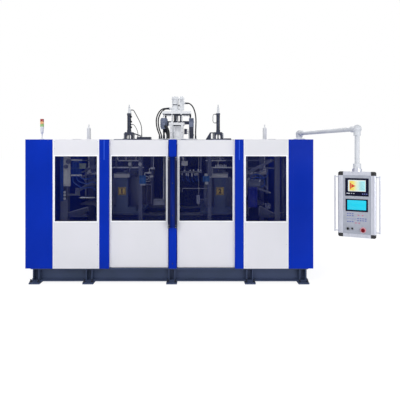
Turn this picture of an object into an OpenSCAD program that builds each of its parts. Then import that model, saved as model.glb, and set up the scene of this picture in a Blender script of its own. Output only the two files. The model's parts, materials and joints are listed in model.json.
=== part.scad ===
// Double-station extrusion blow moulding machine, in millimetres.
// Origin: on the floor, at the centre of the four corner anchor holes.
// +X runs along the machine to the operator panel, +Y to the back, +Z up.

/* [Enclosure] */
// Depth of the enclosure
machine_d = 2000; // [1980:1:2040]
// Height of the enclosure's top edge
machine_top = 2300; // [2290:1:2320]
// Width of the left end cabinet
left_cabinet_w = 439; // [430:1:450]
// Width of the right end cabinet
right_cabinet_w = 398; // [390:1:410]
// Width of the left fixed panel
left_panel_w = 743; // [735:1:755]
// Width of the right fixed panel
right_panel_w = 716; // [706:1:726]
// Width of the left column
left_column_w = 157; // [150:1:165]
// Width of the right column
right_column_w = 140; // [132:1:148]
// Visible width of the left door
left_door_w = 944; // [930:1:955]
// Visible width of the right door
right_door_w = 925; // [915:1:935]
// Distance between the closed doors
centre_gap_w = 148; // [140:1:156]
// Gap between neighbouring sheet pieces
seam = 2; // [1:0.5:4]
// Thickness of the folded sheets
sheet_t = 3; // [2:0.5:4]
// Depth of the fixed panels and columns
panel_depth = 32; // [28:1:36]
// Depth of the doors
door_depth = 40; // [36:1:44]
// Running gap between a door and the panels before it
door_gap = 6; // [5:1:10]
// How far a door reaches behind its column
door_lap = 30; // [20:1:40]
// Gap over and under a door
door_play = 8; // [6:1:12]

/* [Windows] */
// Height of the windows' lower edge
window_bottom = 989; // [970:1:1010]
// Height of the windows' upper edge
window_top = 2032; // [2010:1:2050]
// Margin between a window and its panel's edge
window_margin = 33; // [28:1:40]
// Thickness of the panes
pane_t = 6; // [4:1:8]
// How far a pane laps behind its sheet
pane_lap = 14; // [8:1:20]

/* [Base] */
// Thickness of the foot plates
foot_t = 26; // [20:1:32]
// Width of a foot plate along the machine
foot_w = 170; // [160:1:200]
// Height of the base beams
beam_h = 206; // [200:1:212]
// Width of the base beams' flanges
beam_w = 200; // [180:1:210]
// Thickness of the base beams' flanges
flange_t = 14; // [10:1:18]
// Thickness of the base beams' webs
web_t = 10; // [8:1:14]
// Distance of the end feet's middle from the ends
end_foot_inset = 165; // [155:1:185]
// Distance of the inner feet's middle from the bed's ends
inner_foot_inset = 41; // [31:1:51]
// Diameter of an anchor hole
anchor_d = 27; // [22:1:32]

/* [Bed and rails] */
// Height of the bed's top face
bed_top = 1000; // [990:1:1010]
// Half length of the bed
bed_half = 1330; // [1320:1:1340]
// Distance of a rail from the middle plane
rail_y = 430; // [420:1:440]
// Width of the bed's side boxes
bed_side_w = 160; // [150:1:170]
// Height of a rail
rail_h = 40; // [36:1:44]
// Width of a rail
rail_w = 44; // [40:1:48]
// Clearance between parts that slide on each other
run_gap = 0.3; // [0.2:0.05:0.4]
// Radial clearance of a rod in its bore
fit_gap = 0.08; // [0.03:0.01:0.1]

/* [Stations] */
// Distance of the left station's middle from the left door's outer edge
station_b_inset = 151; // [141:1:161]
// Distance of the right station's middle from the right door's outer edge
station_a_inset = 226; // [216:1:236]
// Half length of a carriage along the rails
carriage_half = 330; // [325:1:340]
// Half depth of a carriage
carriage_reach = 720; // [715:1:730]
// Thickness of the carriage plate
carriage_t = 40; // [36:1:44]
// Width of a clamp column
column_w = 190; // [180:1:200]
// Height of the gussets beside a clamp column
gusset_top = 1180; // [1100:1:1250]
// Thickness of a clamp column from front to back
column_t = 140; // [130:1:150]
// Width of the head block on a clamp column
head_block_w = 290; // [285:1:300]
// Height of the head block's top face
clamp_top = 1737; // [1732:1:1740]
// Height of the head block
head_block_h = 65; // [60:1:68]
// Diameter of the tie bars
tie_bar_d = 40; // [36:1:42]
// Half spacing of the upper tie bars
upper_tie_x = 120; // [118:1:122]
// Half spacing of the lower tie bars
lower_tie_x = 200; // [196:1:204]
// Diameter of the clamp rods
clamp_rod_d = 70; // [60:1:76]
// Diameter of the clamp cylinders
clamp_barrel_d = 150; // [130:1:160]

/* [Moulds] */
// Stroke of one platen
clamp_stroke = 180; // [176:1:184]
// Thickness of one mould half
mould_t = 160; // [156:1:164]
// Width of a mould
mould_w = 420; // [410:1:430]
// Height of a mould
mould_h = 470; // [460:1:474]
// Height of a mould's lower face
mould_bottom = 1170; // [1168:1:1174]
// Thickness of a platen
platen_t = 45; // [40:1:50]
// Width of a platen
platen_w = 520; // [500:1:530]
// Width of the can's cavity
cavity_w = 290; // [270:1:310]
// Height of the can's cavity
cavity_h = 380; // [360:1:390]
// Depth of the can's cavity in one half
cavity_depth = 115; // [100:1:120]
// Diameter of the can's neck in the mould
neck_d = 56; // [50:1:64]

/* [Blow pins] */
// Height of a blow pin's tip at rest
pin_tip = 1738; // [1738:1:1745]
// Diameter of a blow pin's calibrating mandrel
mandrel_d = 36; // [30:1:40]
// Diameter of a blow pin's stem
stem_d = 60; // [50:1:64]
// Diameter of the piston rods
piston_rod_d = 30; // [26:1:34]
// Diameter of the guide rods
guide_rod_d = 24; // [20:1:26]
// Half spacing of the guide rods
guide_x = 90; // [88:1:94]
// Height of the piston rod's upper end at rest
pin_rod_top = 2964; // [2950:1:2980]
// Height of a blow cylinder's upper end
blow_cylinder_top = 2806; // [2790:1:2815]
// Diameter of a blow cylinder
blow_cylinder_d = 65; // [60:1:70]
// Height of a blow bracket's top face
blow_bracket_top = 2457; // [2450:1:2465]

/* [Take-out] */
// Distance of the left take-out unit from the left cabinet
takeout_b_inset = 306; // [296:1:316]
// Distance of the right take-out unit from the right cabinet
takeout_a_inset = 223; // [217:1:232]
// Diameter of a take-out cylinder
takeout_cylinder_d = 70; // [60:1:76]
// Height of a take-out cylinder's upper end
takeout_cylinder_top = 2530; // [2520:1:2540]
// Diameter of a take-out rod
takeout_rod_d = 20; // [18:1:24]
// Height of a take-out rod's upper end at rest
takeout_rod_top = 2599; // [2590:1:2610]
// Reach of a take-out arm towards its station
takeout_reach = 330; // [310:1:340]

/* [Top frame] */
// Distance of the legs' middle from the front and back faces
leg_inset = 180; // [170:1:182]
// Size of the frame's square legs
leg_s = 100; // [96:1:104]
// Height of the long and cross beams
top_beam_h = 120; // [110:1:130]
// Height of the frame's top face
frame_top = 2310; // [2308:1:2312]
// Distance of the left end legs from the left cabinet
left_leg_inset = 139; // [131:1:146]
// Distance of the right end legs from the right cabinet
right_leg_inset = 152; // [142:1:157]
// Distance of the inner left legs from the left door's outer edge
inner_left_leg_inset = 483; // [476:1:491]
// Distance of the inner right legs from the right door's outer edge
inner_right_leg_inset = 403; // [396:1:411]
// Width of the inner legs
inner_leg_w = 60; // [50:1:70]

/* [Die head] */
// Distance of the die head and tower from the middle between the doors
head_offset = 13; // [3:1:23]
// Height of the die's lower face
die_bottom = 1745; // [1743:1:1750]
// Radius of the die head's body
head_r = 100; // [94:1:110]
// Height of the extruder's axis
barrel_z = 1930; // [1920:1:1940]
// Radius of the extruder's barrel
barrel_r = 55; // [50:1:60]
// Thickness of the barrel's heaters
heater_t = 20; // [12:1:24]
// Length of the barrel between its flanges
barrel_len = 1475; // [1450:1:1500]

/* [Tower] */
// Height of the tower plate's top face
tower_plate_top = 2629; // [2620:1:2640]
// Thickness of the tower plate
tower_plate_t = 45; // [40:1:50]
// Half width of the tower's body
tower_half = 120; // [112:1:128]
// Height of the upper crossbeam's lower face
crossbeam_z = 2791; // [2780:1:2800]
// Thickness of the upper crossbeam
crossbeam_t = 44; // [40:1:48]
// Length of the upper crossbeam
crossbeam_w = 524; // [510:1:540]
// Diameter of the tower's rods
tower_rod_d = 26; // [22:1:30]
// Height of the servo cylinder over the upper crossbeam
servo_h = 279; // [265:1:295]
// Diameter of the lift motor
lift_motor_d = 135; // [120:1:140]
// Diameter of the tower's hoses
tower_hose_d = 24; // [20:1:26]
// Diameter of the lift motor's hoses
motor_hose_d = 34; // [30:1:36]
// Diameter of the blow cylinders' upper hose
pin_hose_d = 14; // [12:1:16]
// Diameter of the blow cylinders' port hoses
port_hose_d = 10; // [8:1:12]

/* [Stack light] */
// Distance of the stack light from the left end
lamp_inset = 172; // [165:1:185]
// Place of the stack light from front to back
lamp_y = -750; // [-760:1:-740]
// Diameter of the lenses
lens_d = 60; // [50:1:66]
// Height of one lens
lens_h = 43; // [40:1:50]
// Height of the lenses' lower edge
lens_z = 2516; // [2500:1:2530]

/* [Operator panel] */
// Distance of the arm's pivot from the right end
pivot_inset = 165; // [155:1:175]
// Place of the arm's pivot from front to back
pivot_y = -750; // [-760:1:-740]
// Length of the arm between its two vertical axes
arm_len = 1520; // [1500:1:1540]
// Direction of the arm at rest
arm_angle = -75; // [-80:1:-70]
// Height of the arm tube's axis
arm_z = 2404; // [2400:1:2410]
// Diameter of the arm's tubes
arm_tube_d = 60; // [56:1:66]
// Diameter of the arm's elbows
elbow_d = 112; // [104:1:120]
// Turn of the operator panel at rest
panel_turn = -24; // [-30:1:-20]
// Width of the operator panel's housing
hmi_w = 460; // [450:1:470]
// Depth of the operator panel's housing
hmi_d = 130; // [120:1:140]
// Height of the housing's lower edge
hmi_bottom = 1005; // [1000:1:1010]
// Height of the housing's upper edge
hmi_top = 1848; // [1840:1:1855]
// Width of the housing's side profiles
hmi_edge = 63; // [56:1:68]
// Height of the housing's corner caps
cap_h = 46; // [42:1:60]
// Height of the housing's upper and lower end profiles
end_bar_h = 44; // [38:1:50]
// How far the front plate lies behind the profiles
face_recess = 6; // [4:1:8]
// Diameter of the emergency stop's head
e_stop_d = 46; // [40:1:50]
// Diameter of the panel's side handles
hmi_handle_d = 16; // [14:1:18]

/* [Hidden] */
$fn = 48;
eps = 1;

front_y = -machine_d / 2;
back_y = machine_d / 2;
leg_y = machine_d / 2 - leg_inset;
base_top = foot_t + beam_h;
beam_y = machine_d / 2 - 10 - beam_w / 2;
foot_y = machine_d / 2 + 25;

// Edges of the front's pieces, from left to right.
machine_w = left_cabinet_w + left_panel_w + left_column_w + left_door_w + centre_gap_w
    + right_door_w + right_column_w + right_panel_w + right_cabinet_w;
cabinet_l = -machine_w / 2 + left_cabinet_w;
column_l = cabinet_l + left_panel_w;
door_l = column_l + left_column_w;
post_l = door_l + left_door_w;
cabinet_r = machine_w / 2 - right_cabinet_w;
column_r = cabinet_r - right_panel_w;
door_r = column_r - right_column_w;
post_r = door_r - right_door_w;

// Places along the machine.
end_foot_x = machine_w / 2 - end_foot_inset;
inner_foot_x = bed_half - inner_foot_inset;
foot_stations = [-end_foot_x, -inner_foot_x, 40, inner_foot_x, end_foot_x];
left_leg_x = cabinet_l + left_leg_inset;
right_leg_x = cabinet_r - right_leg_inset;
inner_left_leg_x = door_l + inner_left_leg_inset;
inner_right_leg_x = door_r - inner_right_leg_inset;
takeout_b_x = cabinet_l + takeout_b_inset;
takeout_a_x = cabinet_r - takeout_a_inset;
station_b_x = door_l + station_b_inset;
station_a_x = door_r - station_a_inset;
head_x = (post_l + post_r) / 2 + head_offset;
lamp_x = -machine_w / 2 + lamp_inset;
pivot_x = machine_w / 2 - pivot_inset;

door_y = front_y + panel_depth + door_gap;
door_back = door_y + door_depth;
door_bottom = base_top + door_play;
door_top = machine_top - door_play;
leg_front = -leg_y - leg_s / 2;
frame_under = frame_top - top_beam_h;

// The door rail's section: a head that the shoes wrap, on a stem that meets the legs.
rail_head_y = leg_front - 38;
rail_neck_y = leg_front - 28;
rail_head_h = 20;
rail_stem_h = 8;
upper_rail_z = frame_top - 70;
lower_rail_z = base_top + 34;
shoe_w = 80;
shoe_back = leg_front - 19;
shoe_h = 34;
handle_bottom = 882;
handle_top = 2026;
handle_w = 38;
handle_t = 6;
handle_y = front_y - 40;

rail_top = bed_top + rail_h;
carriage_bottom = rail_top + 22;
carriage_top = carriage_bottom + carriage_t;
column_out = carriage_reach - 20;
column_in = column_out - column_t;
head_block_bottom = clamp_top - head_block_h;
upper_tie_z = clamp_top - head_block_h / 2;
lower_tie_z = carriage_top + 33;
foot_block_top = carriage_top + 63;
platen_in = clamp_stroke + mould_t;
platen_out = platen_in + platen_t;
barrel_in = platen_out + 3;
clamp_z = 1375;
mould_top = mould_bottom + mould_h;
station_plate_z = 1442;
station_plate_s = 130;

crosshead_z = 1960;
crosshead_t = 30;
guide_rod_top = blow_bracket_top - 17;
blow_base_t = 26;
air_nipple_d = 16;
wing_t = 40;
pin_beam_w = 240;
takeout_beam_w = 120;
arm_top = 1720;

adapter_y = 200;
barrel_y0 = adapter_y + 25;
barrel_y1 = barrel_y0 + barrel_len;
tower_beam_w = 80;
tower_beam_gap = 110;
tower_base_top = frame_top + 25;
tower_depth = 105;
servo_bottom = crossbeam_z + crossbeam_t;
servo_top = servo_bottom + servo_h;
return_port_z = servo_bottom + 59;
feed_port_z = servo_bottom + 157;
guide_beam_z = tower_plate_top - 19;
guide_column_top = tower_plate_top + 92;
guide_beam_y = 112;
guide_beam_t = 38;
hmi_x = pivot_x + arm_len * cos(arm_angle);
hmi_y = pivot_y + arm_len * sin(arm_angle);
collar_bottom = hmi_top + 45;
face_y = -hmi_d / 2 + face_recess;
handle_out = 42;
stop_at = [75, 1104];
stop_stem_d = 24;
selector_at = [-108, 1113];
key_at = [-55, 1116];

// Routes of the hoses, from fitting to fitting.
hose_foot_z = tower_base_top + 6;
outer_route = [[-75, -40, return_port_z], [-130, -40, return_port_z], [-190, -40, 2884], [-245, -40, 2844],
    [-285, -40, 2780], [-308, -40, 2700], [-310, -40, 2620], [-298, -40, 2540], [-277, -40, 2470],
    [-258, -40, 2420], [-252, -40, 2390], [-252, -40, hose_foot_z]];
inner_route = [[-75, 40, return_port_z], [-120, 40, return_port_z], [-170, 40, 2880], [-220, 40, 2838],
    [-258, 40, 2775], [-280, 40, 2700], [-282, 40, 2620], [-270, 40, 2540], [-249, 40, 2470],
    [-230, 40, 2420], [-224, 40, 2390], [-224, 40, hose_foot_z]];
right_route = [[225, 0, feed_port_z], [275, 0, feed_port_z], [325, 0, 2966], [366, 0, 2912], [394, 0, 2840],
    [410, 0, 2760], [416, 0, 2670], [414, 0, 2570], [410, 0, 2460], [410, 0, hose_foot_z]];
motor_outer_route = [[-178, 40, 2518], [-178, 40, 2440], [-178, 40, hose_foot_z]];
motor_inner_route = [[-136, 40, 2518], [-136, 40, 2490], [-126, 40, 2440], [-114, 40, 2392],
    [-114, 40, hose_foot_z]];
pin_upper_route = [[-773, 0, 2868], [-745, 0, 2868], [-710, 0, 2820], [-675, 0, 2755], [-640, 0, 2690],
    [-608, 0, 2620], [-590, 0, 2550], [-585, 0, 2480], [-585, 0, 2395]];
pin_lower_route = [[-765, 0, 2600], [-740, 0, 2600], [-708, 0, 2566], [-680, 0, 2515], [-660, 0, 2460],
    [-655, 0, 2420], [-655, 0, 2395]];
pin_right_route = [[775, 0, 2790], [750, 0, 2790], [732, 0, 2760], [730, 0, 2710], [732, 0, 2660],
    [750, 0, 2630], [775, 0, 2630]];

blue = "#0a32b8";
white = "#e6e5ea";
slate = "#3e4759";
steel = "#8d939c";

// Block between two opposite corners.
module span(a, b) {
    translate(a)
        cube(b - a);
}

// Upright round bar between two heights.
module upright(d, z0, z1) {
    translate([0, 0, z0])
        cylinder(d = d, h = z1 - z0);
}

// Round bar along +Y between two places.
module lengthwise(d, y0, y1) {
    translate([0, y1, 0])
        rotate([90, 0, 0])
            cylinder(d = d, h = y1 - y0);
}

// Round bar along +X between two places.
module crosswise(d, x0, x1) {
    translate([x0, 0, 0])
        rotate([0, 90, 0])
            cylinder(d = d, h = x1 - x0);
}

// Folded tray with its face at y = 0, open to the back, with a window opening if one is given.
module tray(w, h, depth, hole = []) {
    difference() {
        cube([w, depth, h]);
        translate([sheet_t, sheet_t, sheet_t])
            cube([w - 2 * sheet_t, depth, h - 2 * sheet_t]);
        if (len(hole) == 4)
            span([hole[0], -eps, hole[1]], [hole[2], depth + eps, hole[3]]);
    }
}

// Tray between two X and two Z places, with its window margins from the visible edges.
module windowed(x0, x1, z0, z1, y, depth, see0, see1) {
    translate([x0, y, z0])
        tray(x1 - x0, z1 - z0, depth,
            [see0 + window_margin - x0, window_bottom - z0, see1 - window_margin - x0, window_top - z0]);
}

// Pane behind a sheet whose face lies at y.
module pane(see0, see1, y) {
    span([see0 + window_margin - pane_lap, y + sheet_t, window_bottom - pane_lap],
        [see1 - window_margin + pane_lap, y + sheet_t + pane_t, window_top + pane_lap]);
}

module i_section() {
    h = beam_h / 2;
    w = beam_w / 2;
    t = web_t / 2;
    f = h - flange_t;
    polygon([[-w, -h], [w, -h], [w, -f], [t, -f], [t, f], [w, f],
        [w, h], [-w, h], [-w, f], [-t, f], [-t, -f], [-w, -f]]);
}

module base_frame() {
    half = end_foot_x + 85;
    color(slate)
        difference() {
            union() {
                for (side = [-1, 1])
                    translate([-half, side * beam_y, foot_t + beam_h / 2])
                        rotate([90, 0, 90])
                            linear_extrude(2 * half)
                                i_section();
                for (x = foot_stations) {
                    translate([x, beam_y, foot_t + beam_h / 2])
                        rotate([90, 0, 0])
                            linear_extrude(2 * beam_y)
                                i_section();
                    for (side = [-1, 1]) {
                        span([x - foot_w / 2, side * (beam_y + 15) - 160, 0],
                            [x + foot_w / 2, side * (beam_y + 15) + 160, foot_t]);
                        for (rib = [-46, 46])
                            span([x + rib - 6, side * beam_y - beam_w / 2 + 8, foot_t + 5],
                                [x + rib + 6, side * beam_y + beam_w / 2 - 8, base_top - 5]);
                    }
                }
            }
            for (x = foot_stations, side = [-1, 1])
                translate([x, side * foot_y, 0])
                    upright(anchor_d, -eps, foot_t + eps);
        }
}

module machine_bed() {
    inner = rail_y - bed_side_w / 2;
    color(slate) {
        for (side = [-1, 1])
            span([-bed_half, side * rail_y - bed_side_w / 2, base_top],
                [bed_half, side * rail_y + bed_side_w / 2, bed_top]);
        for (x = [-bed_half + 60, -450, 450, bed_half - 60])
            span([x - 30, -inner + run_gap, 300], [x + 30, inner - run_gap, bed_top - 60]);
    }
}

// Section of a carriage rail, grown by a clearance.
module rail_section(c) {
    w = rail_w / 2 + c;
    n = rail_w / 2 - 8 + c;
    polygon([[-w, 0], [w, 0], [w, 12 + c], [n, 18 + c], [n, 24 - c], [w, 30 - c],
        [w, rail_h + c], [-w, rail_h + c], [-w, 30 - c], [-n, 24 - c], [-n, 18 + c], [-w, 12 + c]]);
}

rack_y = rail_y - bed_side_w / 2;

module carriage_rails() {
    color(steel) {
        for (side = [-1, 1])
            translate([40 - bed_half, side * rail_y, bed_top])
                rotate([90, 0, 90])
                    linear_extrude(2 * bed_half - 80)
                        rail_section(0);
        difference() {
            span([80 - bed_half, -rack_y, bed_top - 40], [bed_half - 80, 20 - rack_y, bed_top - 10]);
            for (x = [100 - bed_half : 40 : bed_half - 100])
                span([x - 8, 14 - rack_y, bed_top - 41], [x + 8, 21 - rack_y, bed_top - 9]);
        }
    }
}

module leg(x, w, side) {
    span([x - w / 2, side * leg_y - leg_s / 2, base_top],
        [x + w / 2, side * leg_y + leg_s / 2, frame_under - run_gap]);
}

module cross_beam(x, w) {
    inner = leg_y - leg_s / 2 - run_gap;
    span([x - w / 2, -inner, frame_under], [x + w / 2, inner, frame_top]);
}

module top_frame() {
    color(white) {
        for (side = [-1, 1]) {
            leg(left_leg_x, 125, side);
            leg(right_leg_x, 80, side);
            leg(inner_left_leg_x, inner_leg_w, side);
            leg(inner_right_leg_x, inner_leg_w, side);
            span([left_leg_x - 62, side * leg_y - leg_s / 2, frame_under],
                [right_leg_x + 60, side * leg_y + leg_s / 2, machine_top - 1]);
        }
        for (side = [-1, 1])
            cross_beam(head_x + side * (tower_beam_gap + tower_beam_w / 2), tower_beam_w);
        for (x = [station_a_x, station_b_x])
            difference() {
                cross_beam(x, pin_beam_w);
                translate([x, 0, 0]) {
                    upright(piston_rod_d + 2 * fit_gap, frame_under - eps, frame_top + eps);
                    for (side = [-1, 1])
                        translate([side * guide_x, 0, 0])
                            upright(guide_rod_d + 2 * fit_gap, frame_under - eps, frame_top + eps);
                }
            }
        for (x = [takeout_a_x, takeout_b_x])
            difference() {
                cross_beam(x, takeout_beam_w);
                translate([x, 0, 0])
                    upright(takeout_rod_d + 2 * fit_gap, frame_under - eps, frame_top + eps);
            }
        for (z = [1832, 1960]) {
            span([left_leg_x + 62.8, -leg_y - 10, z - 10],
                [inner_left_leg_x - inner_leg_w / 2 - run_gap, 10 - leg_y, z + 10]);
            span([inner_right_leg_x + inner_leg_w / 2 + run_gap, -leg_y - 10, z - 10],
                [right_leg_x - 40.3, 10 - leg_y, z + 10]);
        }
    }
}

// End cabinet: a closed housing with a fold line at its front edge and two door leaves at its end.
module cabinet(x0, x1, fold_x, out) {
    end_x = out < 0 ? x0 : x1;
    color(blue)
        difference() {
            span([x0, front_y, base_top], [x1, back_y, machine_top]);
            span([fold_x - 1.5, front_y - eps, base_top - eps],
                [fold_x + 1.5, front_y + 2, machine_top + eps]);
            for (y = [front_y + 40, -1.5, back_y - 43])
                span([end_x - 3, y, base_top + 60], [end_x + 3, y + 3, machine_top - 60]);
            for (z = [base_top + 60, machine_top - 63])
                span([end_x - 3, front_y + 40, z], [end_x + 3, back_y - 40, z + 3]);
            for (y = [-machine_d / 4, machine_d / 4], row = [0 : 7])
                span([end_x - 3, y - 150, 420 + 26 * row], [end_x + 3, y + 150, 430 + 26 * row]);
        }
}

module left_cabinet() {
    cabinet(-machine_w / 2, cabinet_l - seam, cabinet_l - 75, -1);
}

module right_cabinet() {
    cabinet(cabinet_r + seam, machine_w / 2, cabinet_r + 72, 1);
}

// Blue cover between two edges of the front, tied to the top frame over the doors.
module column_cover(x0, x1) {
    mid = (x0 + x1) / 2;
    union() {
        translate([x0, front_y, base_top])
            difference() {
                cube([x1 - x0, panel_depth, machine_top - base_top]);
                translate([4, 4, -eps])
                    cube([x1 - x0 - 8, panel_depth, machine_top - base_top - 5]);
            }
        span([mid - 25, front_y + panel_depth - eps, machine_top - 6], [mid + 25, leg_front, machine_top]);
    }
}

module enclosure_posts() {
    post_half = 63;
    mid = (post_l + post_r) / 2;
    color(blue) {
        column_cover(column_l + seam, door_l);
        column_cover(door_r, column_r - seam);
        difference() {
            column_cover(mid - post_half, mid + post_half);
            span([mid - post_half + 22, front_y - eps, handle_bottom],
                [mid + post_half - 22, front_y + 3, handle_top]);
        }
    }
}

module side_panels() {
    color(white) {
        windowed(cabinet_l, column_l, base_top, machine_top, front_y, panel_depth, cabinet_l, column_l);
        windowed(column_r, cabinet_r, base_top, machine_top, front_y, panel_depth, column_r, cabinet_r);
    }
}

module side_windows() {
    color("#141c40") {
        pane(cabinet_l, column_l, front_y);
        pane(column_r, cabinet_r, front_y);
    }
}

// Rear panel, tied to the top frame; the hole is given in the panel's own width and height.
module rear_tray(x0, x1, hole = []) {
    mid = (x0 + x1) / 2;
    union() {
        translate([x1, back_y, base_top])
            rotate([0, 0, 180])
                tray(x1 - x0, machine_top - base_top, panel_depth, hole);
        span([mid - 25, leg_y + leg_s / 2, machine_top - 6],
            [mid + 25, back_y - panel_depth + eps, machine_top]);
    }
}

module rear_panels() {
    gap0 = head_x - 400;
    gap1 = head_x + 400;
    hole_x = 400 - seam;
    hole_z = barrel_z - base_top;
    hole_r = 125;
    third_l = (cabinet_l + gap0) / 2;
    third_r = (cabinet_r + gap1) / 2;
    color(white) {
        rear_tray(cabinet_l, third_l - seam);
        rear_tray(third_l, gap0 - seam);
        rear_tray(gap0, gap1 - seam, [hole_x - hole_r, hole_z - hole_r, hole_x + hole_r, hole_z + hole_r]);
        rear_tray(gap1, third_r - seam);
        rear_tray(third_r, cabinet_r);
    }
}

// Section of a door rail in Y and Z, grown by a clearance.
module door_rail_section(c) {
    y0 = rail_head_y - c;
    y1 = rail_neck_y + c;
    h = rail_head_h + c;
    s = rail_stem_h + c;
    polygon([[y0, -h], [y1, -h], [y1, -s], [leg_front, -s], [leg_front, s], [y1, s], [y1, h], [y0, h]]);
}

module door_tracks() {
    color(steel)
        for (z = [upper_rail_z, lower_rail_z])
            translate([cabinet_l + 8, 0, z])
                rotate([90, 0, 90])
                    linear_extrude(cabinet_r - cabinet_l - 16)
                        door_rail_section(0);
}

module shoe(x, z) {
    difference() {
        span([x - shoe_w / 2, door_back, z - shoe_h], [x + shoe_w / 2, shoe_back, z + shoe_h]);
        translate([x - shoe_w, 0, z])
            rotate([90, 0, 90])
                linear_extrude(2 * shoe_w)
                    door_rail_section(run_gap);
    }
}

// Sliding door: folded tray, two stiffeners across its back and four shoes on the rails.
module door(x0, x1, see0, see1) {
    color(white) {
        windowed(x0, x1, door_bottom, door_top, door_y, door_depth, see0, see1);
        for (z = [upper_rail_z, lower_rail_z]) {
            low = max(z - shoe_h, door_bottom);
            span([x0, door_y + sheet_t, low], [x1, door_back, min(z + shoe_h, door_top)]);
            for (x = [x0 + 120, x1 - 120])
                intersection() {
                    shoe(x, z);
                    span([x0, door_y, door_bottom], [x1, 0, door_top]);
                }
        }
    }
}

module left_door() {
    door(door_l - door_lap, post_l, door_l, post_l);
}

module right_door() {
    door(post_r, door_r + door_lap, post_r, door_r);
}

module left_window() {
    color("#141c40")
        pane(door_l, post_l, door_y);
}

module right_window() {
    color("#141c40")
        pane(post_r, door_r, door_y);
}

// Pull rail on a door's inner edge: a web in the gap beside the post and a lip bent over the post.
module pull_rail(edge, way) {
    web = edge + way * handle_t;
    tip = edge + way * handle_w;
    color("#20242e")
        union() {
            span([min(edge, web), handle_y, handle_bottom], [max(edge, web), door_y + 12, handle_top]);
            span([min(edge, tip), handle_y, handle_bottom],
                [max(edge, tip), handle_y + handle_t, handle_top]);
            translate([tip - way * 7, handle_y + handle_t, 0])
                upright(14, handle_bottom, handle_top);
        }
}

module left_handle() {
    pull_rail(post_l, 1);
}

module right_handle() {
    pull_rail(post_r, -1);
}

// Clamp column with its foot, gussets, head block and clamp cylinder, behind the middle plane.
module clamp_column() {
    difference() {
        union() {
            span([-lower_tie_x - 40, column_in, carriage_top - eps],
                [lower_tie_x + 40, column_out, foot_block_top]);
            span([-column_w / 2, column_in, foot_block_top - eps],
                [column_w / 2, column_out, head_block_bottom + eps]);
            span([-head_block_w / 2, column_in - 15, head_block_bottom],
                [head_block_w / 2, column_out + 15, clamp_top]);
            for (side = [-1, 1], y = [column_in + 8, column_out - 28])
                translate([0, y + 20, 0])
                    rotate([90, 0, 0])
                        linear_extrude(20)
                            polygon([[side * (column_w / 2 - 1), foot_block_top - 1],
                                [side * (lower_tie_x + 30), foot_block_top - 1],
                                [side * (column_w / 2 - 1), gusset_top]]);
            translate([0, 0, clamp_z]) {
                lengthwise(clamp_barrel_d, barrel_in, column_in + eps);
                lengthwise(clamp_barrel_d + 36, column_in - 22, column_in + eps);
            }
        }
        translate([0, 0, clamp_z])
            lengthwise(clamp_rod_d + 2 * fit_gap, barrel_in - eps, column_out - 12);
    }
}

module runner(x, y) {
    translate([x, y, 0])
        difference() {
            span([-60, -44, bed_top + 8], [60, 44, carriage_bottom + eps]);
            translate([-61, 0, bed_top])
                rotate([90, 0, 90])
                    linear_extrude(122)
                        rail_section(run_gap);
        }
}

// One station's carriage; out is the way from the machine's middle to its end.
module clamp_frame(x, out) {
    pinion_r = 30;
    color(slate)
        translate([x, 0, 0])
            union() {
                span([-carriage_half, -carriage_reach, carriage_bottom],
                    [carriage_half, carriage_reach, carriage_top]);
                for (side = [-1, 1]) {
                    for (end = [-220, 220])
                        runner(end, side * rail_y);
                    for (tie = [[upper_tie_x, upper_tie_z], [lower_tie_x, lower_tie_z]])
                        translate([side * tie[0], 0, tie[1]])
                            lengthwise(tie_bar_d, -column_in - eps, column_in + eps);
                }
                clamp_column();
                mirror([0, 1, 0])
                    clamp_column();
                translate([out * 265, 20 - rack_y + pinion_r + run_gap, 0]) {
                    upright(2 * pinion_r, bed_top - 40, bed_top - 10);
                    upright(34, bed_top - 11, carriage_bottom + eps);
                    upright(84, bed_top + 4, carriage_bottom + eps);
                }
                span([-station_plate_s / 2, -column_out - 4, station_plate_z - station_plate_s / 2],
                    [station_plate_s / 2, eps - column_out, station_plate_z + station_plate_s / 2]);
            }
}

module clamp_frame_a() {
    clamp_frame(station_a_x, 1);
}

module clamp_frame_b() {
    clamp_frame(station_b_x, -1);
}

// Cavity of one mould half: the can's side with rounded edges, and its neck up to the mould's top.
module cavity() {
    r = 34;
    face = clamp_stroke;
    z0 = mould_bottom + 30;
    union() {
        span([-cavity_w / 2, face - eps, z0 + r], [cavity_w / 2, face + cavity_depth - r, z0 + cavity_h - r]);
        span([-cavity_w / 2 + r, face - eps, z0], [cavity_w / 2 - r, face + cavity_depth - r, z0 + cavity_h]);
        span([-cavity_w / 2 + r, face - eps, z0 + r],
            [cavity_w / 2 - r, face + cavity_depth, z0 + cavity_h - r]);
        for (x = [-1, 1]) {
            for (z = [z0 + r, z0 + cavity_h - r])
                translate([x * (cavity_w / 2 - r), 0, z])
                    lengthwise(2 * r, face - eps, face + cavity_depth - r);
            translate([x * (cavity_w / 2 - r), face + cavity_depth - r, 0])
                upright(2 * r, z0 + r, z0 + cavity_h - r);
        }
        translate([0, face, 0])
            upright(neck_d, z0 + cavity_h - eps, mould_top + eps);
    }
}

module platen_outline() {
    w = platen_w / 2;
    n = upper_tie_x + 42;
    low = lower_tie_z - 27;
    high = head_block_bottom - 22;
    polygon([[-w, low], [w, low], [w, high - 40], [n, high], [n, clamp_top], [-n, clamp_top],
        [-n, high], [-w, high - 40]]);
}

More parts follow.
